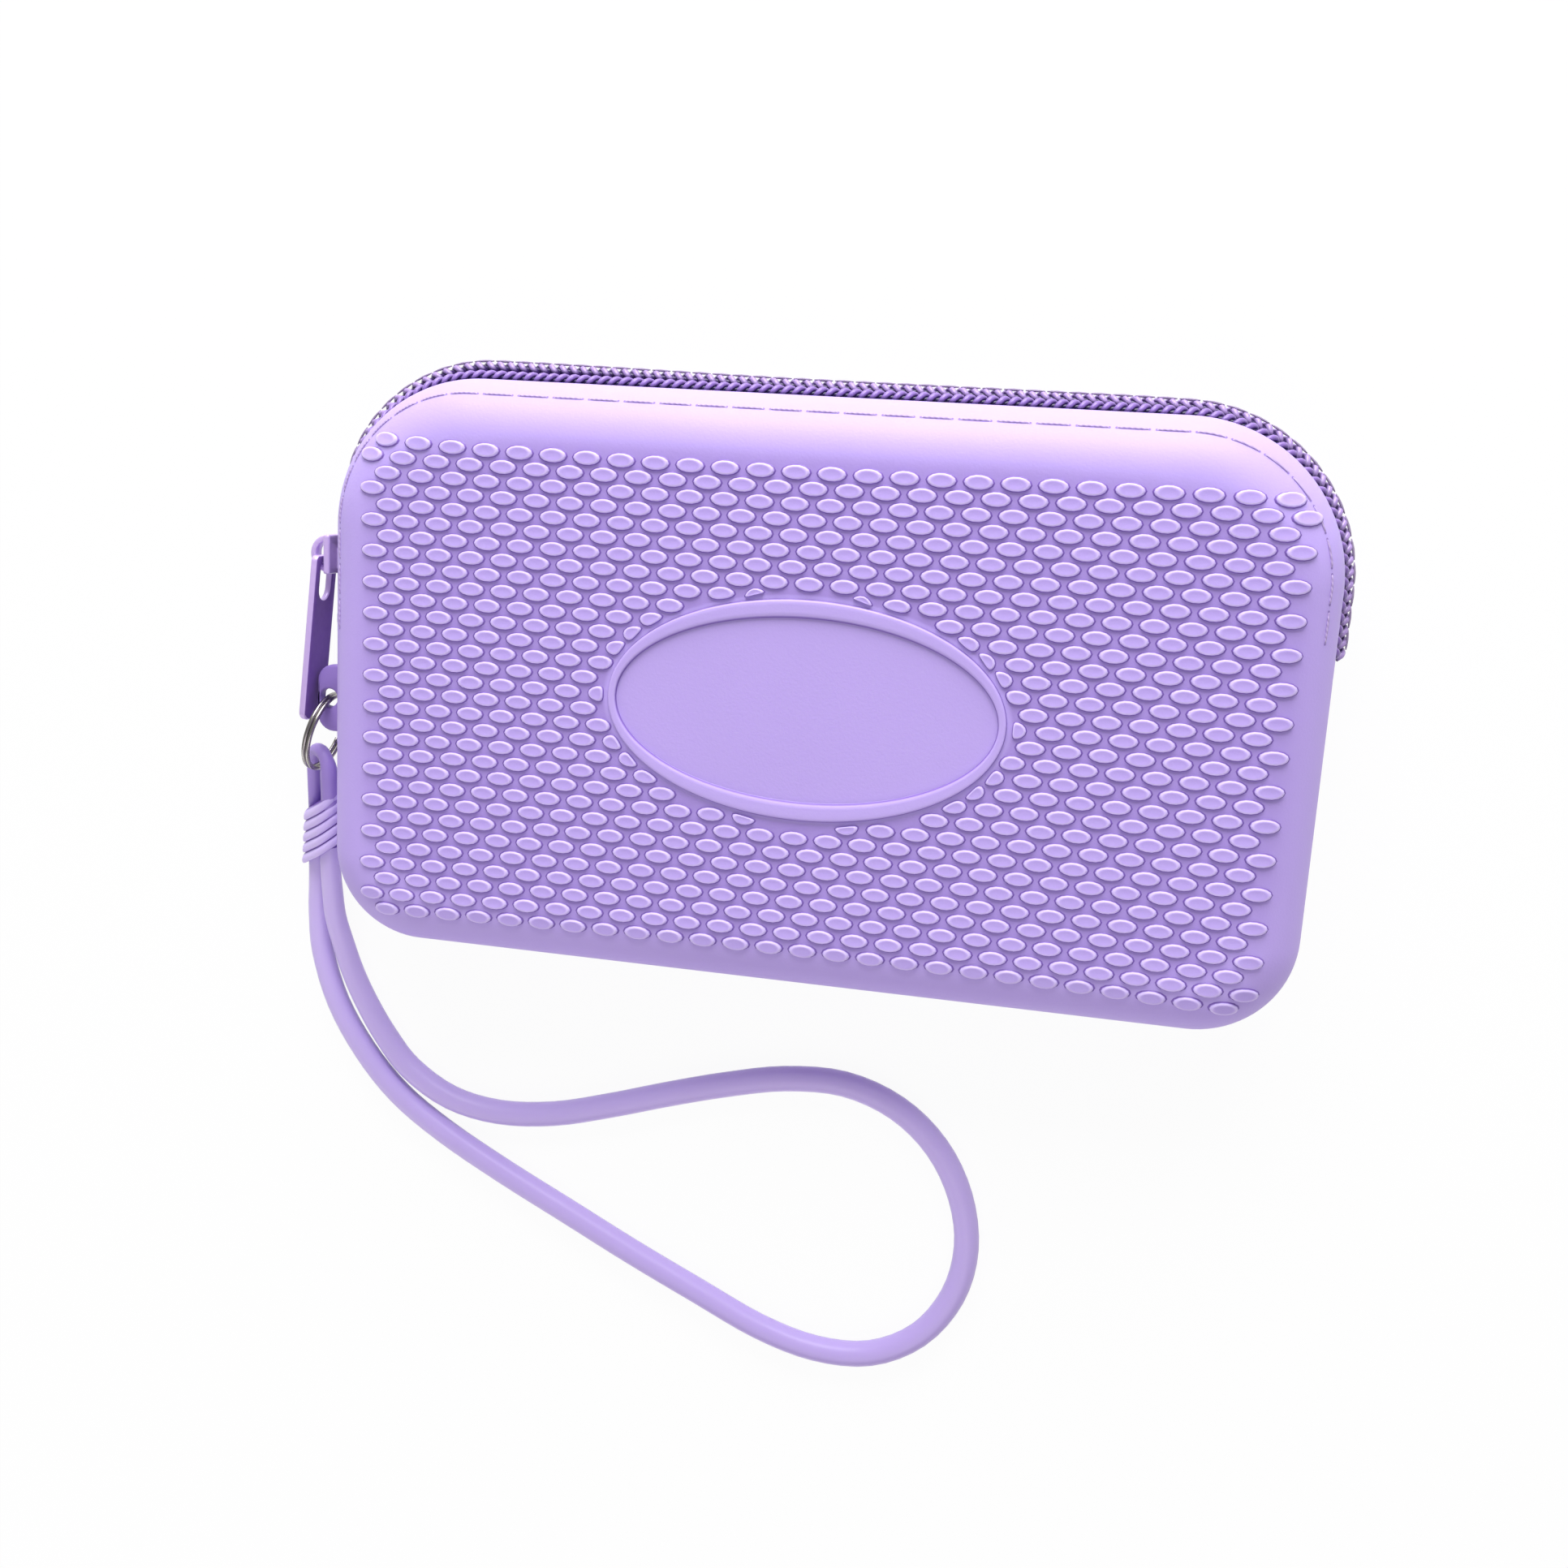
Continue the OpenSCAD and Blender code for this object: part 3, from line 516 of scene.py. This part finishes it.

# Grip bumps
# Flat oval bumps in staggered rows, moulded on the front face. Each has a raised round rim with
# a painted highlight, painted shade round its foot and a slightly sunk top, and those at the oval
# frame are cut short by it, with rounded corners.
bump_sides, half_l, half_w, pitch_x, pitch_y = 14, 2.08, 1.03, 5.1, 2.35
rows_each_way, in_long_row = 15, 27
trim_l, trim_w, smallest, nearest, stretch = 30.3, 17.05, 1.78, 0.97, 0.9
rings = ((1.12, -0.01), (1.0, 0.06), (0.93, 0.38), (0.78, 0.46), (0.58, 0.41))
row_sag, row_squeeze, row_fan, row_droop, row_tilt = 1.6, 0.37, 1.53, 0.73, 0.43
column_shift, column_lean, column_spread, column_slide = -0.14, 0.37, 0.84, 0.56
corner_from, corner_over, corner_out, corner_up = 1.42, 0.28, 0.65, 0.3
step = 2 * math.pi / bump_sides
around = [k * step for k in range(bump_sides)]

bm = bmesh.new()
template = bmesh.new()
skin(template, [[Vector((math.cos(a), math.sin(a), j)) for a in around] for j in range(len(rings))])
top_z = 0.001 * (len(rings) - 1.5)
upper = [e for e in template.edges if e.is_boundary and e.verts[0].co.z > top_z]
bmesh.ops.holes_fill(template, edges=upper, sides=0)
pattern = bpy.data.meshes.new("BumpPattern")
template.to_mesh(pattern)
template.free()
ring_of = [
    (round(1000 * v.co.z), round(math.atan2(v.co.y, v.co.x) / step) % bump_sides)
    for v in pattern.vertices
]
painted_light = bm.verts.layers.float.new("painted_light")


def on_face(x, y, h):
    """Point h mm above the front face, which rounds over past its flat part."""
    r = (top_r if y > 0 else bottom_r) - edge_r
    dx = max(abs(x) - case_w / 2 + edge_r + r, 0)
    dy = max(abs(y) - case_h / 2 + edge_r + r, 0)
    past = math.hypot(dx, dy) - r
    if past <= 0:
        return Vector((x, y, case_t + h))
    way = Vector((math.copysign(dx, x), math.copysign(dy, y), 0)) / (past + r)
    z = math.sqrt(max(edge_r**2 - past * past, 0))
    return Vector((x, y, round_z + z)) + h / edge_r * (past * way + Vector((0, 0, z)))


def area_of(outline):
    """Area inside a closed outline that runs anticlockwise."""
    return sum(p.cross(q) for p, q in zip(outline, outline[1:] + outline[:1])) / 2


whole = area_of([Vector((half_l * math.cos(a), half_w * math.sin(a))) for a in around])
for row in range(-rows_each_way, rows_each_way + 1):
    count = in_long_row - row % 2
    for i in range(count):
        x, y = (i - (count - 1) / 2) * pitch_x, pitch_y * row
        u, v = (x + pattern_x) / (case_w / 2), (y + pattern_y) / (case_h / 2)
        x += column_lean * u * v + (column_spread * u - column_slide) * v**2 + column_shift
        y += row_fan * u**2 * v - row_sag * v**2 - row_squeeze * v - row_droop * u**4 - row_tilt * u**3
        corner = smooth((abs(u) + v - corner_from) / corner_over)
        x, y = x + math.copysign(corner_out, u) * corner, y + corner_up * (1 - u) * corner
        outline, cut = [], False
        for a in around:
            p = Vector((x + half_l * math.cos(a), y + half_w * math.sin(a)))
            inside = math.hypot(p.x / trim_l, p.y / trim_w)
            cut = cut or inside < 1
            outline.append(p / min(inside, 1) if inside > 0.5 else p)
        area = area_of(outline)
        if area < smallest or math.hypot(x / trim_l, y / trim_w) < nearest:
            continue
        centre = sum(outline, Vector((0, 0))) / bump_sides
        if cut:
            for _ in range(3):
                after = outline[1:] + outline[:1]
                outline = [(outline[k - 1] + 2 * outline[k] + after[k]) / 4 for k in range(bump_sides)]
            grow, tall = math.sqrt(area / area_of(outline)), 1 + stretch * (1 - area / whole) ** 2
            off = [grow * (p - centre) for p in outline]
            outline = [centre + Vector((p.x / tall, p.y * tall)) for p in off]
        first = len(bm.verts)
        bm.from_mesh(pattern)
        bm.verts.ensure_lookup_table()
        for v, (ring, k) in zip(bm.verts[first:], ring_of):
            share, height = rings[ring]
            p = centre + share * (outline[k] - centre)
            v.co = 0.001 * on_face(pattern_x + p.x, p.y + pattern_y, height)
            v[painted_light] = ring / (len(rings) - 1)
bump_silicone, tree, _, _, shader = silicone("BumpSilicone", lavender, 0.42, 0.2)
# The colour ramp over the rings is painted light: painted shade round the foot, a painted highlight on the
# rim and the plain colour on the sunk top.
level = node(tree, "Attribute", {}, attribute_name="painted_light")["Fac"]
ramp = node(tree, "ValToRGB", {0: level})
steps = tree.nodes["Color Ramp"].color_ramp.elements
steps[0].color = (0.4, 0.28, 0.7, 1)
steps[1].position = 1.0
steps[1].color = (0.53, 0.40, 0.87, 1)
for position, colour in (
    (0.12, (0.2, 0.11, 0.46, 1)),
    (0.3, (0.26, 0.15, 0.54, 1)),
    (0.42, (0.66, 0.54, 0.98, 1)),
    (0.72, (0.7, 0.57, 0.99, 1)),
    (0.88, (0.57, 0.44, 0.91, 1)),
):
    steps.new(position).color = colour
tree.links.new(ramp[0], shader.inputs["Base Color"])
piece(bm, "GripBumps", "front", "silicone", [bump_silicone], "grip_bumps")

# Oval frame
# A raised band round the bare oval, narrow at its two ends and wide above and below, moulded
# with the front shell.
long_out, short_out, end_band, side_band, oval_sides = 29.4, 16.15, 1.15, 2.6, 144
# The third value of each station is its painted light: the band's colour is darkened at its outer and inner
# feet as painted shade.
stations = (
    (-0.07, -0.01, 0.5), (-0.01, 0.04, 0.1), (0.01, 0.3, 0.5), (0.04, 0.54, 1), (0.13, 0.6, 1),
    (0.3, 0.6, 0.96), (0.7, 0.58, 0.96), (0.88, 0.56, 1), (0.95, 0.42, 0.5), (0.99, 0.12, 0),
    (1.06, -0.01, 0.6),
)
bm = bmesh.new()
loops = []
for share, height, _ in stations:
    long_r, short_r = long_out - end_band * share, short_out - side_band * share
    loops.append([
        Vector((pattern_x + long_r * math.cos(a), short_r * math.sin(a) + pattern_y, case_t + height))
        for a in [2 * math.pi * k / oval_sides for k in range(oval_sides)]
    ])
skin(bm, loops, painted_light=[[light] * oval_sides for _, _, light in stations])
oval_silicone, tree, _, tint, shader = silicone("OvalSilicone", (0.56, 0.43, 0.89), 0.42, 0.2)
level = node(tree, "Attribute", {}, attribute_name="painted_light")["Fac"]
# Painted shade: where the painted light is low the colour is mixed towards dark purple.
shaded = node(tree, "Mix", {0: level, 6: (0.2, 0.11, 0.46, 1), 7: tint}, data_type="RGBA")
tree.links.new(shaded[2], shader.inputs["Base Color"])
piece(bm, "OvalFrame", "front", "silicone", [oval_silicone], "oval_frame")

# Front tape, coil and stitching
# The other half of the zipper, sewn inside the front shell. Its coil winds the other way round
# and lies almost flush with the wall.
bm = bmesh.new()
skin(bm, tape(front_out, 0), capped=True)
piece(bm, "FrontTape", "front", "tape", [woven], "front_tape")

# The front coil's colours are darker than the back coil's for the same nylon: painted shade.
front_nylon = coil_nylon("FrontCoilNylon", (0.012, 0.002, 0.07), (0.28, 0.17, 0.5))
bm = bmesh.new()
coil(bm, front_out, -1, 0)
piece(bm, "FrontCoil", "front", "coil", [front_nylon], "front_coil")

bm = bmesh.new()
stitches(bm)
piece(bm, "FrontStitching", "front", "thread", [thread, needle_hole_shade], "front_stitching")


# Zipper stops
# Two crimped stops of enamelled metal on the left ends of the coils, and the moulded silicone
# block that fills the end of the opening on the right.
def block(bm, low, high, edge):
    """Box between two corners in mm, with rounded edges."""
    size = Vector(high) - Vector(low)
    place = Matrix.Translation(0.0005 * (Vector(low) + Vector(high)))
    place = place @ Matrix.Diagonal((*(0.001 * size), 1))
    made = bmesh.ops.create_cube(bm, size=1, matrix=place)["verts"]
    edges = list({e for v in made for e in v.link_edges})
    bmesh.ops.bevel(
        bm, geom=edges, offset=0.001 * edge, segments=3, profile=0.5, affect="EDGES", material=-1
    )


def lilac_enamel(name, low, high, roughness, coat):
    """Satin enamel on die-cast metal, with the fine unevenness of the paint."""
    made, tree, end = new_material(name)
    at = node(tree, "TexCoord", {})["Object"]
    fine = node(tree, "TexNoise", {"Vector": at, "Scale": 900, "Detail": 3})
    tint = node(tree, "Mix", {0: fine[0], 6: (*low, 1), 7: (*high, 1)}, data_type="RGBA")
    relief = node(tree, "Bump", {"Height": fine[0], "Strength": 0.08, "Distance": 0.0001})
    paint = node(
        tree,
        "BsdfPrincipled",
        {
            "Base Color": tint[2],
            "Normal": relief[0],
            "Metallic": 0.15,
            "Roughness": roughness,
            "Coat Weight": coat,
        },
    )
    tree.links.new(paint[0], end.inputs[0])
    return made


enamel = lilac_enamel("LilacEnamel", (0.6, 0.44, 0.82), (0.68, 0.51, 0.9), 0.34, 0.3)
stop_size, stop_low, stop_high = 2.4, 5.15, 7.3
for name, body, out, low, cad_node in (
    ("LeftStopBack", "case", 2.4, 9.2, "left_stop_back"),
    ("LeftStopFront", "front", front_out, 12.4, "left_stop_front"),
):
    left = -case_w / 2 - out
    bm = bmesh.new()
    block(bm, (left, stop_low, low), (left + stop_size, stop_high, low + stop_size), 0.5)
    piece(bm, name, body, "coil", [enamel], cad_node)
stop_silicone = silicone("StopSilicone", (0.3, 0.2, 0.55), 0.5, 0.2)[0]
right_stop = ((73.05, 9.1, 9.25), (74.95, 11.2, 14.75), 0.35)
bm = bmesh.new()
block(bm, *right_stop)
piece(bm, "RightStop", "case", "silicone_dark", [stop_silicone], "right_stop")

# Slider
# The enamelled slider on the left side: an outer plate, a neck through the slot between the
# coils and an inner plate, with an arched bridge on top for the pull.
outer_plate = ((-78.7, 13.0, 8.3), (-77.6, 19.2, 14.8), 0.35)
rear_flange = ((-77.7, 13.8, 8.3), (-75.06, 18.4, 8.93), 0.2)
neck = ((-77.7, 13.8, 11.8), (-71.9, 17.0, 12.2), 0.12)
inner_plate = ((-72.0, 13.0, 9.2), (-71.1, 19.2, 14.8), 0.3)
bm = bmesh.new()
for part in (outer_plate, rear_flange, neck, inner_plate):
    block(bm, *part)
piece(bm, "SliderBody", "slider", "slider_metal", [enamel], "slider_body")

bridge_foot = Vector((-78.65, 16.1, case_t / 2))
strip = [(2.1, -0.85), (2.2, -1.07), (2.4, -1.1), (2.75, -1.1), (2.93, -1.05), (3.0, -0.85)]
strip += [(r, -z) for r, z in strip[::-1]]
bm = bmesh.new()
loops = [
    [bridge_foot + Vector((-r * math.cos(a), r * math.sin(a), z)) for r, z in strip]
    for a in [math.pi * (k / 24 - 0.5) for k in range(25)]
]
skin(bm, loops, capped=True)
piece(bm, "SliderBridge", "slider", "slider_metal", [enamel], "slider_bridge")


# Pull
# The long flat pull, stamped with rounded corners and a window under its bar. It hangs down
# from the bridge and leans a little away from the wall, and its inner face, which faces the wall,
# has a darker copy of the enamel as painted shade.
def rounded(u0, u1, v0, v1, r0, r1, inset):
    """Outline of a rectangle whose corners are rounded with r0 at its u0 end and r1 at u1."""
    found = []
    for u, v, r, first in (
        (u0 + r0, v0 + r0, r0, 180), (u1 - r1, v0 + r1, r1, 270),
        (u1 - r1, v1 - r1, r1, 0), (u0 + r0, v1 - r0, r0, 90),
    ):
        for k in range(7):
            a = math.radians(first + 15 * k)
            found.append((u + (r - inset) * math.cos(a), v + (r - inset) * math.sin(a)))
    return found


def plate(bm, outer, window, half, edge, at):
    """A flat plate with a window and rounded edges; at puts a point of it in place."""
    steps = [(edge, half), (0.3 * edge, half - 0.3 * edge), (0, half - edge)]
    loops = []
    for side in (1, -1):
        loops += [[at(u, v, side * w) for u, v in rounded(*outer, inset)] for inset, w in steps[::side]]
    for side in (-1, 1):
        loops += [[at(u, v, side * w) for u, v in rounded(*window, -inset)] for inset, w in steps[::-side]]
    skin(bm, loops, through=True)


pull_l, pull_half_w, window_l, window_half_w, bar_r = 26, 3.5, 6.6, 1.9, 0.62
pull_bar = Vector((-79.8, 15.234, case_t / 2))
pull_lean = math.radians(5)


def on_pull(u, v, w):
    """Point of the pull, u mm down from its bar, v mm across and w mm out from its middle."""
    down = Vector((-math.sin(pull_lean), -math.cos(pull_lean), 0))
    out = Vector((-math.cos(pull_lean), math.sin(pull_lean), 0))
    return pull_bar + Vector((0, 0, v)) + u * down + w * out


bm = bmesh.new()
outer = (-bar_r, pull_l, -pull_half_w, pull_half_w, 0.9, 1.6)
window = (bar_r, window_l, -window_half_w, window_half_w, 0.6, 1.85)
plate(bm, outer, window, 0.55, 0.24, on_pull)
bmesh.ops.recalc_face_normals(bm, faces=bm.faces)
# Faces turned to the wall get the second, darker enamel: painted shade.
for f in bm.faces:
    f.material_index = int(f.normal.x > 0.9)
pull_painted_shade = lilac_enamel("PullPaintedShade", (0.2, 0.1, 0.38), (0.25, 0.14, 0.44), 0.75, 0.0)
piece(bm, "PullTab", "pull", "slider_metal", [enamel, pull_painted_shade], "pull_tab")


# Side tab
# A tongue of darker silicone moulded into the seam of the left wall, with a round hole for the
# split ring.
tab_l, tab_root, tab_half_w, tab_drop, hole_out, hole_r = 5.5, 1.9, 5.4, 7, 3.6, 1.5


def on_tab(u, v, w):
    """Point of the tab, u mm out of the wall, v mm up along it and w mm above its middle."""
    return Vector((-case_w / 2 - u, v - tab_drop, case_t / 2 + w))


bm = bmesh.new()
outer = (-tab_root, tab_l, -tab_half_w, tab_half_w, 0.3, 2.6)
hole = (hole_out - hole_r, hole_out + hole_r, -hole_r, hole_r, hole_r, hole_r)
plate(bm, outer, hole, 1.0, 0.35, on_tab)
tab_silicone = silicone("TabSilicone", (0.33, 0.22, 0.6), 0.48, 0.3)[0]
piece(bm, "SideTab", "case", "silicone_dark", [tab_silicone], "side_tab")

# Split ring
# Two turns of plated steel wire with a step where the first turn passes into the second. It is
# threaded through the tab's hole and lies sloping down to the table.
ring_r, ring_wire_r, turn_pitch, start_turn = 6.3, 0.36, 0.7, -55
ring_yaw, ring_pitch = math.radians(15), math.radians(13)


def slope(yaw, pitch):
    """Way down from the side wall: turned out by yaw, and down to the table by pitch."""
    return Vector((-math.sin(yaw) * math.cos(pitch), -math.cos(yaw) * math.cos(pitch), -math.sin(pitch)))


down, axis = slope(ring_yaw, ring_pitch), Vector((math.cos(ring_yaw), -math.sin(ring_yaw), 0))
rise = down.cross(axis)
centre = on_tab(hole_out, 0, 0) + ring_r * down
bm = bmesh.new()
loops = []
sides = [math.pi * k / 5 for k in range(10)]
for turn in spread((start_turn, 72), (265, 10), (295, 68), (595, 0)):
    a = math.radians(turn)
    way = math.cos(a) * down + math.sin(a) * rise
    off = turn_pitch * (smooth((turn - 265) / 30) - 0.5)
    ring = [((ring_r + ring_wire_r * math.cos(b)) * way, off + ring_wire_r * math.sin(b)) for b in sides]
    loops.append([centre + p + along * axis for p, along in ring])
skin(bm, loops, capped=True)
steel, tree, end = new_material("PlatedSteel")
at = node(tree, "TexCoord", {})["Object"]
wear_and_painted_light = node(tree, "TexNoise", {"Vector": at, "Scale": 700, "Detail": 4})
rough = node(tree, "MapRange", {0: wear_and_painted_light[0], 3: 0.18, 4: 0.36})
metal = node(
    tree, "BsdfPrincipled", {"Base Color": (0.36, 0.34, 0.33, 1), "Metallic": 1.0, "Roughness": rough[0]}
)
tree.links.new(metal[0], end.inputs[0])
piece(bm, "SplitRing", "ring", "steel", [steel], "split_ring")

# Strap eye
# The thin end of the strap, a small loop of darker silicone cord. It goes through the split ring,
# and its two legs end in the collar.
strap_yaw, strap_pitch, strap_roll = math.radians(4), math.radians(12), math.radians(37)
leg_off, eye_r, leg_swell, arch_drop, leg_steps = 2.8, 1.15, 0.3, 0.4, 16
eye = on_tab(hole_out, 0, 0) + 2 * ring_r * down
upward = -slope(strap_yaw, strap_pitch)
level = Vector((math.cos(strap_yaw), -math.sin(strap_yaw), 0))
across = math.cos(strap_roll) * level + math.sin(strap_roll) * level.cross(upward)
facing = across.cross(upward)
line = [(-leg_off, -v) for v in (9, 6, 3, 1)]
for k in range(leg_steps + 1):
    a = math.pi * k / leg_steps
    line.append((-leg_off * math.cos(a), leg_off * math.sin(a) - arch_drop))
line += [(leg_off, -v) for v in (1, 3, 6, 9)]
bm = bmesh.new()
loops = []
sides = [math.pi * j / 7 for j in range(14)]
for k, (u, v) in enumerate(line):
    bend = math.pi * min(max(k - 4, 0), leg_steps) / leg_steps
    way = -math.cos(bend) * across + math.sin(bend) * upward
    thick = eye_r + leg_swell * smooth((k - 15) / 6)
    middle = eye + u * across + v * upward
    loops.append([middle + thick * (math.cos(b) * way + math.sin(b) * facing) for b in sides])
skin(bm, loops, capped=True)
eye_silicone = silicone("EyeSilicone", (0.4, 0.28, 0.7), 0.42, 0.15)[0]
eye_piece = piece(bm, "StrapEye", "strap", "strap", [eye_silicone], "strap_eye")

# Strap collar
# The soft collar moulded over both ends of the cord and the eye's legs, a stack of five slanted
# round ribs with grooves between them, which are darkened with painted shade.
collar_half, rib_pitch, rib_count, rib_rise, collar_drop = 4.84, 1.934, 5, 0.62, 11.2
strand_half, collar_r, narrow, flare, slant, lean = 2.15, 2.1, 0.95, 0.02, 0.65, 0.5
rib = ((0.02, 0.1), (0.1, 0.38), (0.25, 0.56), (0.5, rib_rise), (0.75, 0.56), (0.9, 0.38), (0.98, 0.1))
stations = [(-collar_half, -1.2), (-collar_half, -0.2)]
stations += [(rib_pitch * (i + f - rib_count / 2), grow) for i in range(rib_count) for f, grow in rib]
stations += [(collar_half, -0.2), (collar_half, -1.2)]
bm = bmesh.new()
loops, painted_lights = [], []
for t, grow in stations:
    wide, r = narrow + flare * t, collar_r + grow
    loop = []
    for side in (1, -1):
        for k in range(13):
            a = side * math.pi / 2 - side * math.pi * k / 12
            u = side * wide * (strand_half + r * math.cos(a))
            v = wide * r * math.sin(a)
            along = collar_drop + t - slant * u + lean * v
            loop.append(eye + u * across - along * upward + v * facing)
    loops.append(loop)
    painted_lights.append([max(0, grow) / rib_rise] * len(loop))
skin(bm, loops, capped=True, painted_light=painted_lights)
strap_colour = (0.68, 0.55, 0.97)
collar_silicone, tree, _, tint, shader = silicone("CollarSilicone", strap_colour, 0.42, 0.15)
# Painted shade: the colour is mixed towards dark purple where the ribs sink into the grooves.
level = node(tree, "Attribute", {}, attribute_name="painted_light")["Fac"]
high = node(tree, "MapRange", {0: level, 1: 0.1, 2: 0.8}, interpolation_type="SMOOTHSTEP")
shaded = node(tree, "Mix", {0: high[0], 6: (0.2, 0.1, 0.45, 1), 7: tint}, data_type="RGBA")
tree.links.new(shaded[2], shader.inputs["Base Color"])
collar_piece = piece(bm, "StrapCollar", "strap", "strap", [collar_silicone], "strap_collar")

# Wrist strap
# A smooth round silicone cord. It leaves the collar, lies in a loose loop below the wallet and
# comes back to the collar's other side.
route = [
    (-81.34, -37.20, 6.61), (-81.53, -41.41, 5.54), (-81.43, -46.21, 4.56), (-80.53, -51.11, 3.50),
    (-79.03, -56.61, 2.62), (-76.63, -62.11, 2.08), (-73.13, -67.71, 1.94), (-68.53, -73.01, 1.94),
    (-61.03, -77.41, 1.94), (-52.03, -78.91, 1.94), (-42.03, -77.81, 1.94), (-32.03, -74.91, 1.94),
    (-22.03, -71.51, 1.94), (-12.03, -68.41, 1.94), (-2.03, -66.01, 1.94), (7.97, -65.61, 1.94),
    (16.97, -68.61, 1.94), (23.97, -74.51, 1.94), (28.47, -82.51, 1.94), (30.17, -91.51, 1.94),
    (28.57, -100.51, 1.94), (23.47, -108.41, 1.94), (15.47, -113.21, 1.94), (5.97, -113.91, 1.94),
    (-4.03, -111.51, 1.94), (-15.03, -106.71, 1.94), (-27.03, -101.31, 1.94), (-39.03, -95.51, 1.94),
    (-51.03, -89.71, 1.94), (-62.03, -83.81, 1.94), (-70.53, -77.91, 1.94), (-77.03, -70.81, 1.94),
    (-82.13, -62.51, 1.94), (-85.03, -53.51, 2.01), (-85.53, -46.21, 2.42), (-85.13, -41.01, 3.23),
    (-84.73, -36.42, 4.07),
]
cord_d, in_collar, taper_steps, thin = 4.2, 4.5, 36, 0.8
route = [Vector(p) for p in route]
route = [route[0] + in_collar * upward, *route, route[-1] + in_collar * upward]
line = []
for i in range(len(route) - 1):
    a, b = route[max(i - 1, 0)], route[i]
    c, d = route[i + 1], route[min(i + 2, len(route) - 1)]
    for t in (0, 0.25, 0.5, 0.75):
        line.append(
            0.5 * (2 * b + (c - a) * t + (2 * a - 5 * b + 4 * c - d) * t**2 + (3 * b - a - 3 * c + d) * t**3)
        )
line.append(route[-1])
line = [0.001 * p for p in line]
curve = bpy.data.curves.new("WristStrap", "CURVE")
curve.dimensions = "3D"
curve.bevel_depth = 0.001 * cord_d / 2
curve.bevel_resolution = 5
curve.use_fill_caps = True
spline = curve.splines.new("POLY")
spline.points.add(len(line) - 1)
for k, (point, at) in enumerate(zip(spline.points, line)):
    point.co = (*at, 1)
    point.radius = thin + (1 - thin) * smooth(min(k, len(line) - 1 - k) / taper_steps)
spline.use_smooth = True
strap = bpy.data.objects.new("WristStrap", curve)
bpy.context.collection.objects.link(strap)
strap_silicone, tree, at, tint, shader = silicone("StrapSilicone", strap_colour, 0.36, 0.08)
# Painted light: the cord's colour darkens with distance from the wallet, which keeps its part near the wallet
# light against the wallet's shadow.
height = node(tree, "SeparateXYZ", {0: at})[1]
far = node(tree, "MapRange", {0: height, 1: -0.04, 2: -0.11})
wear_and_painted_light = node(tree, "Mix", {0: far[0], 6: (1, 1, 1, 1), 7: (0.79, 0.76, 0.85, 1)}, data_type="RGBA")
shaded = node(tree, "Mix", {0: 1.0, 6: tint, 7: wear_and_painted_light[2]}, data_type="RGBA", blend_type="MULTIPLY")
tree.links.new(shaded[2], shader.inputs["Base Color"])
curve.materials.append(strap_silicone)
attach(strap, "strap")
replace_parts(strap, "wrist_strap")
